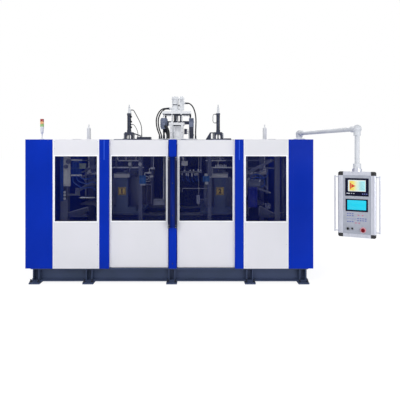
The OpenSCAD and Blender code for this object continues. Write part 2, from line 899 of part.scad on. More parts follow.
// One platen with its mould half, clamp rod and guide bosses, behind the middle plane and open.
// pins is true for the half that carries the mould's guide pins.
module platen(pins) {
    face = clamp_stroke;
    color(steel)
        difference() {
            union() {
                translate([0, platen_out, 0])
                    rotate([90, 0, 0])
                        linear_extrude(platen_t)
                            platen_outline();
                span([-mould_w / 2, face, mould_bottom], [mould_w / 2, platen_in + eps, mould_top]);
                for (z = [mould_bottom + 60, mould_top - 90])
                    span([-mould_w / 2 - 24, platen_in - 34, z], [mould_w / 2 + 24, platen_in + eps, z + 40]);
                for (side = [-1, 1]) {
                    for (tie = [[upper_tie_x, upper_tie_z], [lower_tie_x, lower_tie_z]])
                        translate([side * tie[0], 0, tie[1]])
                            lengthwise(tie_bar_d + 24, platen_out - eps, platen_out + 44);
                    for (z = [1330, 1400, 1470])
                        translate([0, face + 70, z])
                            crosswise(20, min(side * (mould_w / 2 + 26), side * (mould_w / 2 - eps)),
                                max(side * (mould_w / 2 + 26), side * (mould_w / 2 - eps)));
                    if (pins)
                        for (z = [mould_bottom + 25, mould_top - 25])
                            translate([side * (mould_w / 2 - 25), 0, z])
                                lengthwise(24, face - 30, face + eps);
                }
                translate([0, 0, clamp_z]) {
                    lengthwise(clamp_rod_d, platen_out - eps, platen_out + 250);
                    lengthwise(clamp_rod_d + 50, platen_out - eps, platen_out + 2);
                }
            }
            for (side = [-1, 1]) {
                for (tie = [[upper_tie_x, upper_tie_z], [lower_tie_x, lower_tie_z]])
                    translate([side * tie[0], 0, tie[1]])
                        lengthwise(tie_bar_d + 2 * fit_gap, platen_in - 60, platen_out + 60);
                if (!pins)
                    for (z = [mould_bottom + 25, mould_top - 25])
                        translate([side * (mould_w / 2 - 25), 0, z])
                            lengthwise(24 + 2 * fit_gap, face - eps, face + 36);
            }
            cavity();
        }
}

module front_platen_a() {
    translate([station_a_x, 0, 0])
        mirror([0, 1, 0])
            platen(true);
}

module rear_platen_a() {
    translate([station_a_x, 0, 0])
        platen(false);
}

module front_platen_b() {
    translate([station_b_x, 0, 0])
        mirror([0, 1, 0])
            platen(true);
}

module rear_platen_b() {
    translate([station_b_x, 0, 0])
        platen(false);
}

// Arched bracket of one blow cylinder with its base plate, which also carries valves to one side.
// The wing is a plate in front of the bracket, given by its outline in X and Z.
module blow_bracket(x, plate0, plate1, valve0, valve1, valve_h, wing) {
    base_z = frame_top + blow_base_t;
    difference() {
        union() {
            span([x + plate0, -100, frame_top], [x + plate1, 100, base_z]);
            span([x - 73, -73, base_z - eps], [x + 73, 73, blow_bracket_top]);
            span([x + valve0, -60, base_z - eps], [x + valve1, 60, base_z + valve_h]);
            translate([x, wing_t - 60, 0])
                rotate([90, 0, 0])
                    linear_extrude(wing_t)
                        polygon(wing);
        }
        translate([x, 0, 0]) {
            upright(piston_rod_d + 2 * fit_gap, frame_top - eps, blow_bracket_top + eps);
            for (side = [-1, 1])
                translate([side * guide_x, 0, 0])
                    upright(guide_rod_d + 2 * fit_gap, frame_top - eps, base_z + eps);
            translate([0, 0, base_z + 42])
                lengthwise(84, -80, 80);
            span([-42, -80, base_z], [42, 80, base_z + 42]);
        }
        for (slot = [x + valve0 + 24 : 24 : x + valve1 - 12])
            span([slot - 2, -61, base_z + valve_h / 2], [slot + 2, 61, base_z + valve_h + eps]);
    }
}

module blow_brackets() {
    base_z = frame_top + blow_base_t;
    high = blow_bracket_top - 3;
    color("#4a4f66") {
        blow_bracket(station_b_x, -106, 405, 148, 404, 34, [[60, high], [215, base_z + 66],
            [215, base_z + 30], [200, base_z + 30], [200, base_z + 50], [60, high - 24]]);
        blow_bracket(station_a_x, -225, 236, 107, 235, 8, [[-222, base_z - eps], [-150, high], [-60, high],
            [-60, high - 18], [-132, high - 18], [-132, base_z - eps]]);
    }
    color("#4a4f66") {
        translate([-585, 0, 0])
            upright(20, frame_top + blow_base_t + 34.3, 2395);
        translate([-655, 0, 0])
            upright(18, frame_top + blow_base_t + 34.3, 2395);
    }
}

// Blow cylinder with end caps; the one with an air post has its ports to the right, the other to the left.
module blow_cylinder(x, post) {
    cap = blow_cylinder_d + 6;
    translate([x, 0, 0])
        difference() {
            union() {
                upright(blow_cylinder_d, blow_bracket_top, blow_cylinder_top);
                span([-cap / 2, -cap / 2, blow_bracket_top], [cap / 2, cap / 2, blow_bracket_top + 34]);
                span([-cap / 2, -cap / 2, blow_cylinder_top - 32], [cap / 2, cap / 2, blow_cylinder_top]);
                if (post) {
                    translate([29, 0, 0])
                        upright(12, blow_cylinder_top - eps, 2876);
                    translate([0, 0, 2868])
                        crosswise(14, 29, 42);
                    translate([0, 0, 2600])
                        crosswise(16, 20, 50);
                } else {
                    for (z = [2790, 2630])
                        translate([0, 0, z])
                            crosswise(16, -50, -20);
                }
            }
            upright(piston_rod_d + 2 * fit_gap, blow_bracket_top - eps, blow_cylinder_top + eps);
        }
}

module blow_cylinders() {
    color("#3a3f55") {
        blow_cylinder(station_b_x, true);
        blow_cylinder(station_a_x, false);
    }
}

// Blow pin with its stem, crosshead, guide rods and piston rod.
module blow_pin(x) {
    head_top = crosshead_z + crosshead_t;
    color(steel)
        translate([x, 0, 0])
            union() {
                upright(mandrel_d, pin_tip, pin_tip + 63);
                upright(mandrel_d + 10, pin_tip + 50, pin_tip + 63);
                upright(stem_d, pin_tip + 62, crosshead_z + eps);
                upright(stem_d + 24, crosshead_z - 40, crosshead_z + eps);
                span([-guide_x - 30, -55, crosshead_z], [guide_x + 30, 55, head_top]);
                for (side = [-1, 1])
                    translate([side * guide_x, 0, 0])
                        upright(guide_rod_d, head_top - eps, guide_rod_top);
                upright(piston_rod_d, head_top - eps, pin_rod_top - 40);
                upright(air_nipple_d, pin_rod_top - 41, pin_rod_top);
            }
}

module blow_pin_a() {
    blow_pin(station_a_x);
}

module blow_pin_b() {
    blow_pin(station_b_x);
}

module takeout_cylinders() {
    color("#c9cbd0")
        for (x = [takeout_a_x, takeout_b_x])
            translate([x, 0, 0])
                difference() {
                    union() {
                        upright(takeout_cylinder_d, frame_top, takeout_cylinder_top);
                        upright(takeout_cylinder_d + 10, frame_top, frame_top + 20);
                        upright(takeout_cylinder_d - 24, takeout_cylinder_top - eps,
                            takeout_cylinder_top + 14);
                    }
                    upright(takeout_rod_d + 2 * fit_gap, frame_top - eps, takeout_cylinder_top + 20);
                }
}

// Side view of one curved finger.
module finger(reach, way) {
    polygon([[way * 150, arm_top], [reach, arm_top], [reach + way * 6, arm_top - 50],
        [reach - way * 20, arm_top - 200], [reach - way * 50, arm_top - 250],
        [reach - way * 62, arm_top - 236], [reach - way * 50, arm_top - 190],
        [reach - way * 60, arm_top - 90], [way * 150, arm_top - 40]]);
}

// Take-out head: a rod, an arm towards the station and two curved fingers.
module takeout(x, way) {
    reach = way * takeout_reach;
    color("#9aa0aa")
        translate([x, 0, 0])
            union() {
                upright(takeout_rod_d, arm_top - 20, takeout_rod_top);
                upright(60, arm_top - 40, arm_top + 90);
                span([min(-30 * way, reach), -40, arm_top - 40], [max(-30 * way, reach), 40, arm_top]);
                for (side = [-1, 1])
                    translate([0, side * 46 + 6, 0])
                        rotate([90, 0, 0])
                            linear_extrude(12)
                                finger(reach, way);
                translate([reach - way * 24, 0, arm_top + 4])
                    lengthwise(36, -52, 52);
            }
}

module takeout_a() {
    takeout(takeout_a_x, -1);
}

module takeout_b() {
    takeout(takeout_b_x, 1);
}

// Delivery tray on its post, at the right.
module takeout_tray() {
    x0 = bed_half + 15;
    union() {
        span([x0 + 5, -40, base_top], [x0 + 41, 40, 1151]);
        difference() {
            span([x0, -250, 1150], [x0 + 295, 250, 1178]);
            span([x0 + 47, -247, 1149], [x0 + 292, 247, 1175]);
        }
        translate([x0, 8, 0])
            rotate([90, 0, 0])
                linear_extrude(16)
                    polygon([[40, 1040], [215, 1176], [40, 1176]]);
    }
}

module takeout_trays() {
    color(steel) {
        takeout_tray();
        mirror([1, 0, 0])
            takeout_tray();
    }
}

module die_head() {
    r = head_r;
    z = die_bottom;
    top = frame_under - 29;
    color("#9a9ea6")
        translate([head_x, 0, 0])
            difference() {
                union() {
                    rotate_extrude()
                        polygon([[0, z], [40, z], [52, z + 16], [70, z + 20], [70, z + 52], [r, z + 58],
                            [r, 2050], [r + 22, 2050], [r + 22, 2090], [62, 2094], [62, top], [0, top]]);
                    span([-180, -120, top - eps], [180, 120, frame_under]);
                    translate([0, 0, barrel_z]) {
                        lengthwise(120, 60, adapter_y);
                        lengthwise(190, adapter_y - 24, adapter_y);
                    }
                    for (a = [0 : 45 : 315])
                        rotate([0, 0, a])
                            translate([r + 10, 0, 0])
                                upright(16, 2042, 2100);
                }
                upright(46, z - eps, z + 30);
            }
}

// Band between two radii with its clamp lugs, standing upright on z = 0.
module band(r, t, h) {
    difference() {
        union() {
            cylinder(r = r + t, h = h);
            translate([-7, -r - t - 14, h / 4])
                cube([14, t + 20, h / 2]);
        }
        translate([0, 0, -eps])
            cylinder(r = r + run_gap, h = h + 2 * eps);
    }
}

module heater_bands() {
    zone = (barrel_len - 335) / 4;
    color("#b9bcc2") {
        translate([head_x, 0, die_bottom + 22])
            band(70, 8, 28);
        for (z = [die_bottom + 62, barrel_z + 62])
            translate([head_x, 0, z])
                band(head_r, 8, 44);
        for (k = [0 : 3])
            translate([head_x, barrel_y0 + 60 + k * zone, barrel_z])
                rotate([-90, 0, 0])
                    band(barrel_r, heater_t, zone - 40);
    }
}

module head_tower() {
    plate_z = tower_plate_top - tower_plate_t;
    rod_x = 84;
    rod_y = 82;
    half = crossbeam_w / 2;
    color("#d8dadf")
        union() {
            span([-275, -110, frame_top], [440, 150, tower_base_top]);
            translate([head_x, 0, 0]) {
                for (side = [-1, 1])
                    span([side * (tower_half - 20) - 20, -tower_depth, tower_base_top - eps],
                        [side * (tower_half - 20) + 20, tower_depth, plate_z + eps]);
                span([-tower_half + 30, -tower_depth + 22, tower_base_top - eps],
                    [tower_half - 30, tower_depth, plate_z + eps]);
                span([-tower_half - 22, -tower_depth - 5, plate_z],
                    [tower_half + 22, tower_depth + 5, tower_plate_top]);
                for (x = [-rod_x, rod_x], y = [-rod_y, rod_y])
                    translate([x, y, 0]) {
                        upright(tower_rod_d, tower_plate_top - eps, crossbeam_z + eps);
                        upright(tower_rod_d + 16, tower_plate_top - eps, tower_plate_top + 14);
                        upright(tower_rod_d + 16, crossbeam_z - 14, crossbeam_z + eps);
                    }
                span([-half, -100, crossbeam_z], [half, 100, crossbeam_z + crossbeam_t]);
                span([34 - half, -80, crossbeam_z - 30], [-rod_x - 30, 80, crossbeam_z + eps]);
                span([rod_x + 30, -80, crossbeam_z - 30], [half - 34, 80, crossbeam_z + eps]);
                for (side = [-1, 1])
                    translate([side * (half - 14), 0, 0])
                        upright(20, crossbeam_z - 56, crossbeam_z + eps);
                upright(54, tower_plate_top - eps, crossbeam_z + eps);
            }
            for (foot = [[-252, -40], [-224, 40], [410, 0]])
                translate([foot[0], foot[1], 0])
                    upright(32, tower_base_top - eps, hose_foot_z);
            for (x = [-178, -114])
                translate([x, 40, 0])
                    upright(44, tower_base_top - eps, hose_foot_z);
        }
}

module tower_guides() {
    color("#3a3f4e")
        union() {
            span([-244, guide_beam_y, guide_beam_z], [332, guide_beam_y + guide_beam_t, guide_beam_z + 57]);
            span([288, 40, tower_base_top], [371, guide_beam_y + guide_beam_t, guide_column_top]);
            span([300, 28, 2480], [360, 41, 2560]);
            for (z = [2400, 2640])
                span([280, 52, z], [379, 140, z + 22]);
        }
}

// Servo cylinder that moves the die's mandrel, with its valve block.
module parison_servo() {
    z0 = servo_bottom;
    color("#d5d7dc")
        translate([head_x, 0, 0])
            union() {
                span([-100, -90, z0], [100, 90, z0 + 34]);
                translate([-30, 0, 0]) {
                    upright(110, z0 + 33, servo_top - 50);
                    span([-62, -62, servo_top - 60], [62, 62, servo_top - 14]);
                    upright(60, servo_top - 15, servo_top);
                    for (x = [-50, 50], y = [-50, 50])
                        translate([x, y, 0])
                            upright(14, z0 + 33, servo_top - 6);
                }
                span([40, -56, z0 + 33], [132, 56, servo_top - 26]);
                span([56, -40, servo_top - 27], [120, 40, servo_top]);
                for (y = [-40, 40])
                    translate([0, y, return_port_z])
                        crosswise(30, -140, -60);
                translate([0, 0, feed_port_z])
                    crosswise(32, 130, 160);
            }
}

module lift_motor() {
    color("#7f88a0")
        translate([-176.5, 40, 0])
            union() {
                upright(lift_motor_d, 2548, guide_column_top - 21);
                upright(lift_motor_d - 22, 2518, guide_column_top);
                span([-40, 20, guide_beam_z + 2], [40, guide_beam_y - 40, guide_beam_z + 55]);
                for (k = [0 : 3])
                    upright(lift_motor_d + 6, 2566 + k * 34, 2574 + k * 34);
            }
}

module extruder_barrel() {
    color("#a3a6ad")
        translate([head_x, 0, barrel_z])
            union() {
                lengthwise(2 * barrel_r, adapter_y, barrel_y1);
                lengthwise(190, adapter_y, barrel_y0);
                lengthwise(210, barrel_y1 - 30, barrel_y1);
                span([-100, barrel_y1 - 230, -100], [100, barrel_y1 - 29, 100]);
            }
}

// Gearbox on the barrel's end, motor below it and belt guard behind both.
module extruder_drive() {
    y0 = barrel_y1;
    stand_top = 1180;
    color("#2f55a8")
        translate([head_x, 0, 0]) {
            difference() {
                span([-180, y0, 1640], [180, y0 + 350, 2100]);
                for (side = [-1, 1], k = [0 : 5])
                    span([side * 180 - 12, y0 + 40 + k * 50, 1690],
                        [side * 180 + 12, y0 + 60 + k * 50, 2050]);
            }
            translate([0, 0, stand_top + 160])
                difference() {
                    union() {
                        lengthwise(300, y0 - 160, y0 + 349);
                        span([-130, y0 - 90, -160], [130, y0 + 280, -100]);
                    }
                    for (k = [0 : 15])
                        rotate([0, k * 22.5, 0])
                            translate([150, 0, 0])
                                span([-14, y0 - 100, -6], [14, y0 + 300, 6]);
                }
            translate([0, y0 + 350 + run_gap + 60, 0])
                rotate([90, 0, 0])
                    linear_extrude(60)
                        polygon([[-150, 1200], [150, 1200], [190, 1700], [190, 2060], [150, 2110],
                            [-150, 2110], [-190, 2060], [-190, 1700]]);
        }
}

module feed_hopper() {
    z0 = barrel_z + 100;
    color("#b9bec8")
        translate([head_x, barrel_y1 - 130, z0])
            rotate_extrude()
                polygon([[40, 0], [80, 0], [80, 14], [52, 20], [200, 200], [200, 285], [206, 285], [206, 300],
                    [0, 300], [0, 292], [192, 292], [192, 204], [40, 22]]);
}

module extruder_stand() {
    y0 = barrel_y1;
    color(slate)
        translate([head_x, 0, 0])
            union() {
                for (x = [-250, 250], y = [y0 - 480, y0 + 360]) {
                    span([x - 50, y - 50, 12], [x + 50, y + 50, 1101]);
                    span([x - 80, y - 80, 0], [x + 80, y + 80, 13]);
                }
                span([-300, y0 - 530, 1100], [300, y0 + 410, 1180]);
                for (side = [-1, 1])
                    span([side * 190 - 10, y0 + 20, 1179], [side * 190 + 10, y0 + 330, 1640]);
                span([-200, y0 + 20, 1600], [200, y0 + 330, 1640]);
            }
}

function unit(v) = v / norm(v);
function way_at(route, i) = unit(route[min(i + 1, len(route) - 1)] - route[max(i - 1, 0)]);
function ring(route, i, r) = let (t = way_at(route, i), n = unit(cross(t, [0, 1, 0])))
    [for (k = [0 : 7]) route[i] + r * (cos(45 * k) * n + sin(45 * k) * [0, 1, 0])];

// Hose with eight sides, swept along its route.
module hose(route, d) {
    last = len(route) - 1;
    points = [for (i = [0 : last]) each ring(route, i, d / 2)];
    sides = [for (i = [0 : last - 1], k = [0 : 7])
        [8 * i + k, 8 * i + (k + 1) % 8, 8 * i + 8 + (k + 1) % 8, 8 * i + 8 + k]];
    ends = [[for (k = [0 : 7]) 7 - k], [for (k = [0 : 7]) 8 * last + k]];
    color("#1c1e24")
        polyhedron(points, concat(sides, ends));
}

module tower_hose_outer() {
    hose(outer_route, tower_hose_d);
}

module tower_hose_inner() {
    hose(inner_route, tower_hose_d);
}

module tower_hose_right() {
    hose(right_route, tower_hose_d);
}

module motor_hose_outer() {
    hose(motor_outer_route, motor_hose_d);
}

module motor_hose_inner() {
    hose(motor_inner_route, motor_hose_d);
}

module pin_hose_upper() {
    hose(pin_upper_route, pin_hose_d);
}

module pin_hose_lower() {
    hose(pin_lower_route, port_hose_d);
}

module pin_hose_right() {
    hose(pin_right_route, port_hose_d);
}

module lamp_pole() {
    color("#e8e9ec")
        translate([lamp_x, lamp_y, 0])
            rotate_extrude()
                polygon([[0, machine_top], [34, machine_top], [34, machine_top + 10], [8, machine_top + 14],
                    [8, lens_z - 130], [14, lens_z - 118], [24, lens_z - 90], [lens_d / 2 - 2, lens_z - 26],
                    [lens_d / 2, lens_z - 20], [lens_d / 2, lens_z], [0, lens_z]]);
}

module lamp_lenses() {
    tints = ["#2fae4a", "#f2a51e", "#d8241c"];
    for (k = [0 : 2])
        color(tints[k])
            translate([lamp_x, lamp_y, lens_z + k * lens_h])
                rotate_extrude()
                    polygon([[0, 0], [lens_d / 2 - 2, 0], [lens_d / 2, 3], [lens_d / 2, lens_h - 4],
                        [lens_d / 2 - 2, lens_h - 0.3], [0, lens_h - 0.3]]);
}

module arm_base() {
    color("#dfe1e5")
        translate([pivot_x, pivot_y, machine_top])
            union() {
                cylinder(d = 190, h = 14);
                cylinder(d = 96, h = 44);
                for (a = [45 : 90 : 315])
                    rotate([0, 0, a])
                        translate([78, 0, 0])
                            cylinder(d = 16, h = 22);
            }
}

module swing_arm() {
    foot = machine_top + 44 + run_gap;
    color("#d9dbe0")
        translate([pivot_x, pivot_y, 0])
            rotate([0, 0, arm_angle])
                union() {
                    upright(elbow_d - 4, foot, arm_z);
                    translate([0, 0, arm_z]) {
                        sphere(d = elbow_d);
                        crosswise(arm_tube_d + 24, 0, 96);
                        crosswise(arm_tube_d, 90, arm_len - 90);
                        crosswise(arm_tube_d + 24, arm_len - 110, arm_len);
                    }
                    translate([arm_len, 0, 0]) {
                        translate([0, 0, arm_z])
                            sphere(d = elbow_d);
                        upright(arm_tube_d + 30, arm_z - 88, arm_z);
                        upright(arm_tube_d, collar_bottom + 50, arm_z - 80);
                        upright(98, collar_bottom + run_gap, collar_bottom + 60);
                    }
                }
}

// Moves the operator panel's pieces to their place; they are drawn facing -Y about the panel's axis.
module at_panel() {
    translate([hmi_x, hmi_y, 0])
        rotate([0, 0, panel_turn])
            children();
}

// Span between two corners given in any order.
module between(a, b) {
    low = [for (i = [0 : 2]) min(a[i], b[i])];
    high = [for (i = [0 : 2]) max(a[i], b[i])];
    span(low, high);
}

// Outline of the housing seen from above, with round edges.
module hmi_outline() {
    r = 24;
    w = hmi_w / 2;
    d = hmi_d / 2;
    union() {
        square([hmi_w - 2 * r, hmi_d], center = true);
        square([hmi_w, hmi_d - 2 * r], center = true);
        for (x = [-1, 1], y = [-1, 1])
            translate([x * (w - r), y * (d - r)])
                circle(r);
    }
}

module corner_blocks(grow) {
    for (x = [-1, 1], z = [[hmi_bottom, 1], [hmi_top, -1]])
        between([x * (hmi_w / 2 - hmi_edge + grow), -hmi_d, z[0] + z[1] * (cap_h - grow)],
            [x * hmi_w, hmi_d, z[0] - z[1] * 9]);
}

module panel_housing() {
    gap = hmi_w / 2 + handle_out;
    color("#c9cbd3")
        at_panel()
            union() {
                difference() {
                    translate([0, 0, hmi_bottom])
                        linear_extrude(hmi_top - hmi_bottom)
                            hmi_outline();
                    corner_blocks(0);
                    span([-hmi_w / 2 + hmi_edge, -hmi_d, hmi_bottom + end_bar_h],
                        [hmi_w / 2 - hmi_edge, face_y + 4, hmi_top - end_bar_h]);
                    translate([stop_at[0], face_y, stop_at[1]])
                        lengthwise(stop_stem_d + 8, 0, 18);
                    for (x = [-1, 1])
                        span([x * (hmi_w / 2 - 34) - 2, -hmi_d, hmi_bottom - eps],
                            [x * (hmi_w / 2 - 34) + 2, 3 - hmi_d / 2, hmi_top + eps]);
                }
                upright(118, hmi_top - eps, hmi_top + 38);
                upright(98, hmi_top, collar_bottom);
                for (x = [-1, 1]) {
                    translate([x * gap, -20, 0])
                        upright(hmi_handle_d, hmi_bottom + 55, hmi_top - 53);
                    for (z = [hmi_bottom + 70, hmi_top - 68])
                        translate([0, -20, z])
                            crosswise(hmi_handle_d - 2, min(x * gap, x * (hmi_w / 2 - eps)),
                                max(x * gap, x * (hmi_w / 2 - eps)));
                }
            }
}

module panel_corner_caps() {
    color("#17181b")
        at_panel()
            intersection() {
                translate([0, 0, hmi_bottom])
                    linear_extrude(hmi_top - hmi_bottom)
                        hmi_outline();
                difference() {
                    corner_blocks(run_gap);
                    for (x = [-1, 1], z = [[hmi_bottom, 1], [hmi_top, -1]])
                        translate([x * hmi_w / 2, 0, z[0]])
                            rotate([0, 45, 0])
                                cube([20, 2 * hmi_d, 20], center = true);
                }
            }
}

// Front plate with the emergency stop's bore and its collar.
module panel_face() {
    half = hmi_w / 2 - hmi_edge;
    color("#c3c5cf")
        difference() {
            union() {
                at_panel()
                    span([-half, face_y, hmi_bottom + end_bar_h], [half, face_y + 4, hmi_top - end_bar_h]);
                at_control(stop_at)
                    lengthwise(e_stop_d - 6, -7, eps);
            }
            at_control(stop_at)
                lengthwise(stop_stem_d + 2 * run_gap, -8, 5);
        }
}

// Display unit on the front plate: a bezel around a recessed screen.
module display(x0, x1, z0, z1, side, low, high) {
    difference() {
        span([x0, face_y - 5, z0], [x1, face_y, z1]);
        span([x0 + side, face_y - 6, z0 + low], [x1 - side, face_y - 3, z1 - high]);
    }
}

module panel_displays() {
    color("#11131c")
        at_panel() {
            display(-141, 141, 1537, 1767, 34, 59, 24);
            display(-136, 132, 1338, 1497, 20, 20, 14);
        }
}

// Place of a control on the front plate.
module at_control(place) {
    at_panel()
        translate([place[0], face_y, place[1]])
            children();
}

module e_stop_button() {
    color("#c81e28")
        at_control(stop_at)
            union() {
                lengthwise(stop_stem_d, -20, 4);
                lengthwise(e_stop_d, -34, -14);
                lengthwise(e_stop_d - 10, -38, -33);
            }
}

module selector_knob() {
    color("#15161a")
        at_control(selector_at)
            union() {
                lengthwise(30, -14, -run_gap);
                span([-5, -30, -17], [5, -13, 17]);
            }
}

module key_switch() {
    color("#2b2d33")
        at_control(key_at)
            union() {
                lengthwise(26, -8, -run_gap);
                lengthwise(18, -14, -7);
                span([-1.5, -46, -11], [1.5, -13, 11]);
            }
}

base_frame();
machine_bed();
carriage_rails();
top_frame();
left_cabinet();
right_cabinet();
enclosure_posts();
side_panels();
side_windows();
rear_panels();
door_tracks();
left_door();
left_window();
left_handle();
right_door();
right_window();
right_handle();
clamp_frame_a();
front_platen_a();
rear_platen_a();
clamp_frame_b();
front_platen_b();
rear_platen_b();
blow_brackets();
blow_cylinders();
blow_pin_a();
blow_pin_b();
takeout_cylinders();
takeout_a();
takeout_b();
takeout_trays();
die_head();
heater_bands();
head_tower();
tower_guides();
parison_servo();
lift_motor();
extruder_barrel();
extruder_drive();
feed_hopper();
extruder_stand();
tower_hose_outer();
tower_hose_inner();
tower_hose_right();
motor_hose_outer();
motor_hose_inner();
pin_hose_upper();
pin_hose_lower();
pin_hose_right();
lamp_pole();
lamp_lenses();
arm_base();
swing_arm();
panel_housing();
panel_face();
panel_corner_caps();
panel_displays();
e_stop_button();
selector_knob();
key_switch();
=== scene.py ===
# Looks of the double-station blow moulding machine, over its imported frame. Lengths are in metres.
import json
import math

import bpy
from mathutils import Matrix, Vector
from mathutils.geometry import interpolate_bezier


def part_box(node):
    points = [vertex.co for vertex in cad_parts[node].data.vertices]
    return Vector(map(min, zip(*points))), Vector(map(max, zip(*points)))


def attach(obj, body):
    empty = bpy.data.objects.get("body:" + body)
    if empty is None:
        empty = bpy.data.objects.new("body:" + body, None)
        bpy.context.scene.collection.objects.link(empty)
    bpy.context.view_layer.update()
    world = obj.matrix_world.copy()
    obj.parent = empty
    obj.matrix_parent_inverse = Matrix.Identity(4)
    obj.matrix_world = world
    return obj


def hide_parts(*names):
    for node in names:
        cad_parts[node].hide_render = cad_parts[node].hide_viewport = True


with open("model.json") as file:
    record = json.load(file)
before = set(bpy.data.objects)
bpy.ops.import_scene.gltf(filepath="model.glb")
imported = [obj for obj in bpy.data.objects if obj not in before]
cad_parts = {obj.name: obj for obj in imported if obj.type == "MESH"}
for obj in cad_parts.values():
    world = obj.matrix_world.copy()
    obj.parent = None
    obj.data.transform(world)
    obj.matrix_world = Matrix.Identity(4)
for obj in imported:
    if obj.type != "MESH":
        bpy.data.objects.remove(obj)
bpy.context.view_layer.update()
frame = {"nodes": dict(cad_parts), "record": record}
nodes = frame["nodes"]
scene = bpy.context.scene
scene.view_settings.view_transform = "Standard"

# Camera: about 6.5 m before the doors, at eye height, looking straight along +Y.
lens = bpy.data.cameras.new("camera")
lens.lens = 36.56
lens.sensor_width = 36
lens.shift_y = -0.125
lens.clip_end = 200
camera = bpy.data.objects.new("camera", lens)
camera.location = (0.491, -7.5, 2.13)
camera.rotation_euler = (math.radians(90), 0, 0)
scene.collection.objects.link(camera)
scene.camera = camera


def linear(code):
    """Linear colour of an sRGB hex value."""
    parts = [int(code[i:i + 2], 16) / 255 for i in (1, 3, 5)]
    return [c / 12.92 if c <= 0.04045 else ((c + 0.055) / 1.055) ** 2.4 for c in parts] + [1.0]


def add(tree, kind, values={}, links={}, **settings):
    """Adds a node with its settings, socket values and links."""
    node = tree.nodes.new("ShaderNode" + kind)
    for name, value in settings.items():
        setattr(node, name, value)
    for name, value in values.items():
        node.inputs[name].default_value = value
    for name, source in links.items():
        tree.links.new(source, node.inputs[name])
    return node


def material(name, rough, metallic=0.0, colour=None, **sockets):
    """A material with a bare shader; returns the material, its tree, its shader and Object coordinates."""
    made = bpy.data.materials.new(name)
    made.use_nodes = True
    tree = made.node_tree
    tree.nodes.clear()
    values = {"Roughness": rough, "Metallic": metallic}
    values.update({k.replace("_", " "): v for k, v in sockets.items()})
    if colour:
        values["Base Color"] = linear(colour)
    shader = add(tree, "BsdfPrincipled", values)
    add(tree, "OutputMaterial", links={"Surface": shader.outputs[0]})
    place = add(tree, "TexCoord").outputs["Object"]
    return made, tree, shader, place


def noise(tree, place, size, detail=2.0, stretch=None):
    """Noise whose grains are about size metres across."""
    source = place
    if stretch:
        source = add(tree, "Mapping", {"Scale": stretch}, {"Vector": place}).outputs[0]
    return add(tree, "TexNoise", {"Scale": 1 / size, "Detail": detail}, {"Vector": source}).outputs[0]


def shades(tree, factor, low, high, edge0=0.3, edge1=0.7):
    """Colour that runs between two hex values."""
    ramp = add(tree, "ValToRGB", links={"Fac": factor})
    ramp.color_ramp.elements[0].position = edge0
    ramp.color_ramp.elements[0].color = linear(low)
    ramp.color_ramp.elements[1].position = edge1
    ramp.color_ramp.elements[1].color = linear(high)
    return ramp.outputs[0]


def span_of(tree, factor, low, high):
    """Value that runs between two numbers."""
    return add(tree, "MapRange", {"To Min": low, "To Max": high}, {"Value": factor}).outputs[0]


def relief(tree, shader, height, depth):
    """Bump of depth metres."""
    bump = add(tree, "Bump", {"Strength": 1.0, "Distance": depth}, {"Height": height})
    tree.links.new(bump.outputs[0], shader.inputs["Normal"])


def coated(name, low, high, rough, peel=0.006, depth=0.00012, drift=0.9, **sockets):
    """Painted or powder-coated metal: an even film with a fine orange peel and a slow drift of tone."""
    made, tree, shader, place = material(name, rough, **sockets)
    tone = noise(tree, place, drift, 3.0)
    tree.links.new(shades(tree, tone, low, high), shader.inputs["Base Color"])
    tree.links.new(span_of(tree, noise(tree, place, 0.12, 4.0), rough - 0.06, rough + 0.06),
        shader.inputs["Roughness"])
    relief(tree, shader, noise(tree, place, peel, 1.0), depth)
    return made


def enamel(name, low, high, rough, drift):
    """Machine enamel: an even gloss skin."""
    return coated(name, low, high, rough, 0.005, 0.0001, drift)


def worked(name, low, high, rough, stretch, grain=0.004, depth=0.00005, **sockets):
    """Bare metal with the lines of its grinding, turning or rolling; a low stretch draws them out."""
    made, tree, shader, place = material(name, rough, 1.0, **sockets)
    lines = noise(tree, place, grain, 3.0, stretch)
    tree.links.new(shades(tree, lines, low, high, 0.35, 0.65), shader.inputs["Base Color"])
    tree.links.new(span_of(tree, lines, rough - 0.07, rough + 0.1), shader.inputs["Roughness"])
    relief(tree, shader, lines, depth)
    return made


def moulded(name, low, high, rough, grain=0.002, depth=0.00006, **sockets):
    """Moulded plastic or rubber with a fine even grain from its mould."""
    made, tree, shader, place = material(name, rough, **sockets)
    fine = noise(tree, place, grain, 2.0)
    tree.links.new(shades(tree, noise(tree, place, 0.05, 3.0), low, high), shader.inputs["Base Color"])
    relief(tree, shader, fine, depth)
    return made


# Powder coat of cabinets, columns and post: deep blue with a soft sheen.
blue_coat = coated("gloss blue powder coat", "#012ba6", "#0230b6", 0.35, Specular_IOR_Level=0.08)
# Satin powder coat: off-white sheets, nearly even.
white_coat = coated("satin white powder coat", "#e3e3e7", "#e8e7ec", 0.45, Specular_IOR_Level=0.3)


# Y beyond which a rear tray shows its outer face.
REAR_SKIN = 0.998


def rear_sheet():
    """Rear trays: the white coat outside, and a dark grey blue on the inner face that looks toward the
    machine.
    """
    made, tree, shader, place = material("white coat outside, dark grey blue inside", 0.5, Specular_IOR_Level=0.3)
    depth = add(tree, "SeparateXYZ", links={"Vector": place}).outputs["Y"]
    outside = add(tree, "Math", {1: REAR_SKIN}, {0: depth}, operation="GREATER_THAN")
    tone = shades(tree, noise(tree, place, 0.9, 3.0), "#2c3450", "#353e5c")
    white = shades(tree, noise(tree, place, 0.9, 3.0), "#e6e5ea", "#eae9ee")
    mixed = add(tree, "Mix", data_type="RGBA")
    tree.links.new(outside.outputs[0], mixed.inputs["Factor"])
    tree.links.new(tone, mixed.inputs[6])
    tree.links.new(white, mixed.inputs[7])
    tree.links.new(mixed.outputs[2], shader.inputs["Base Color"])
    relief(tree, shader, noise(tree, place, 0.006, 1.0), 0.00012)
    return made


rear_coat = rear_sheet()
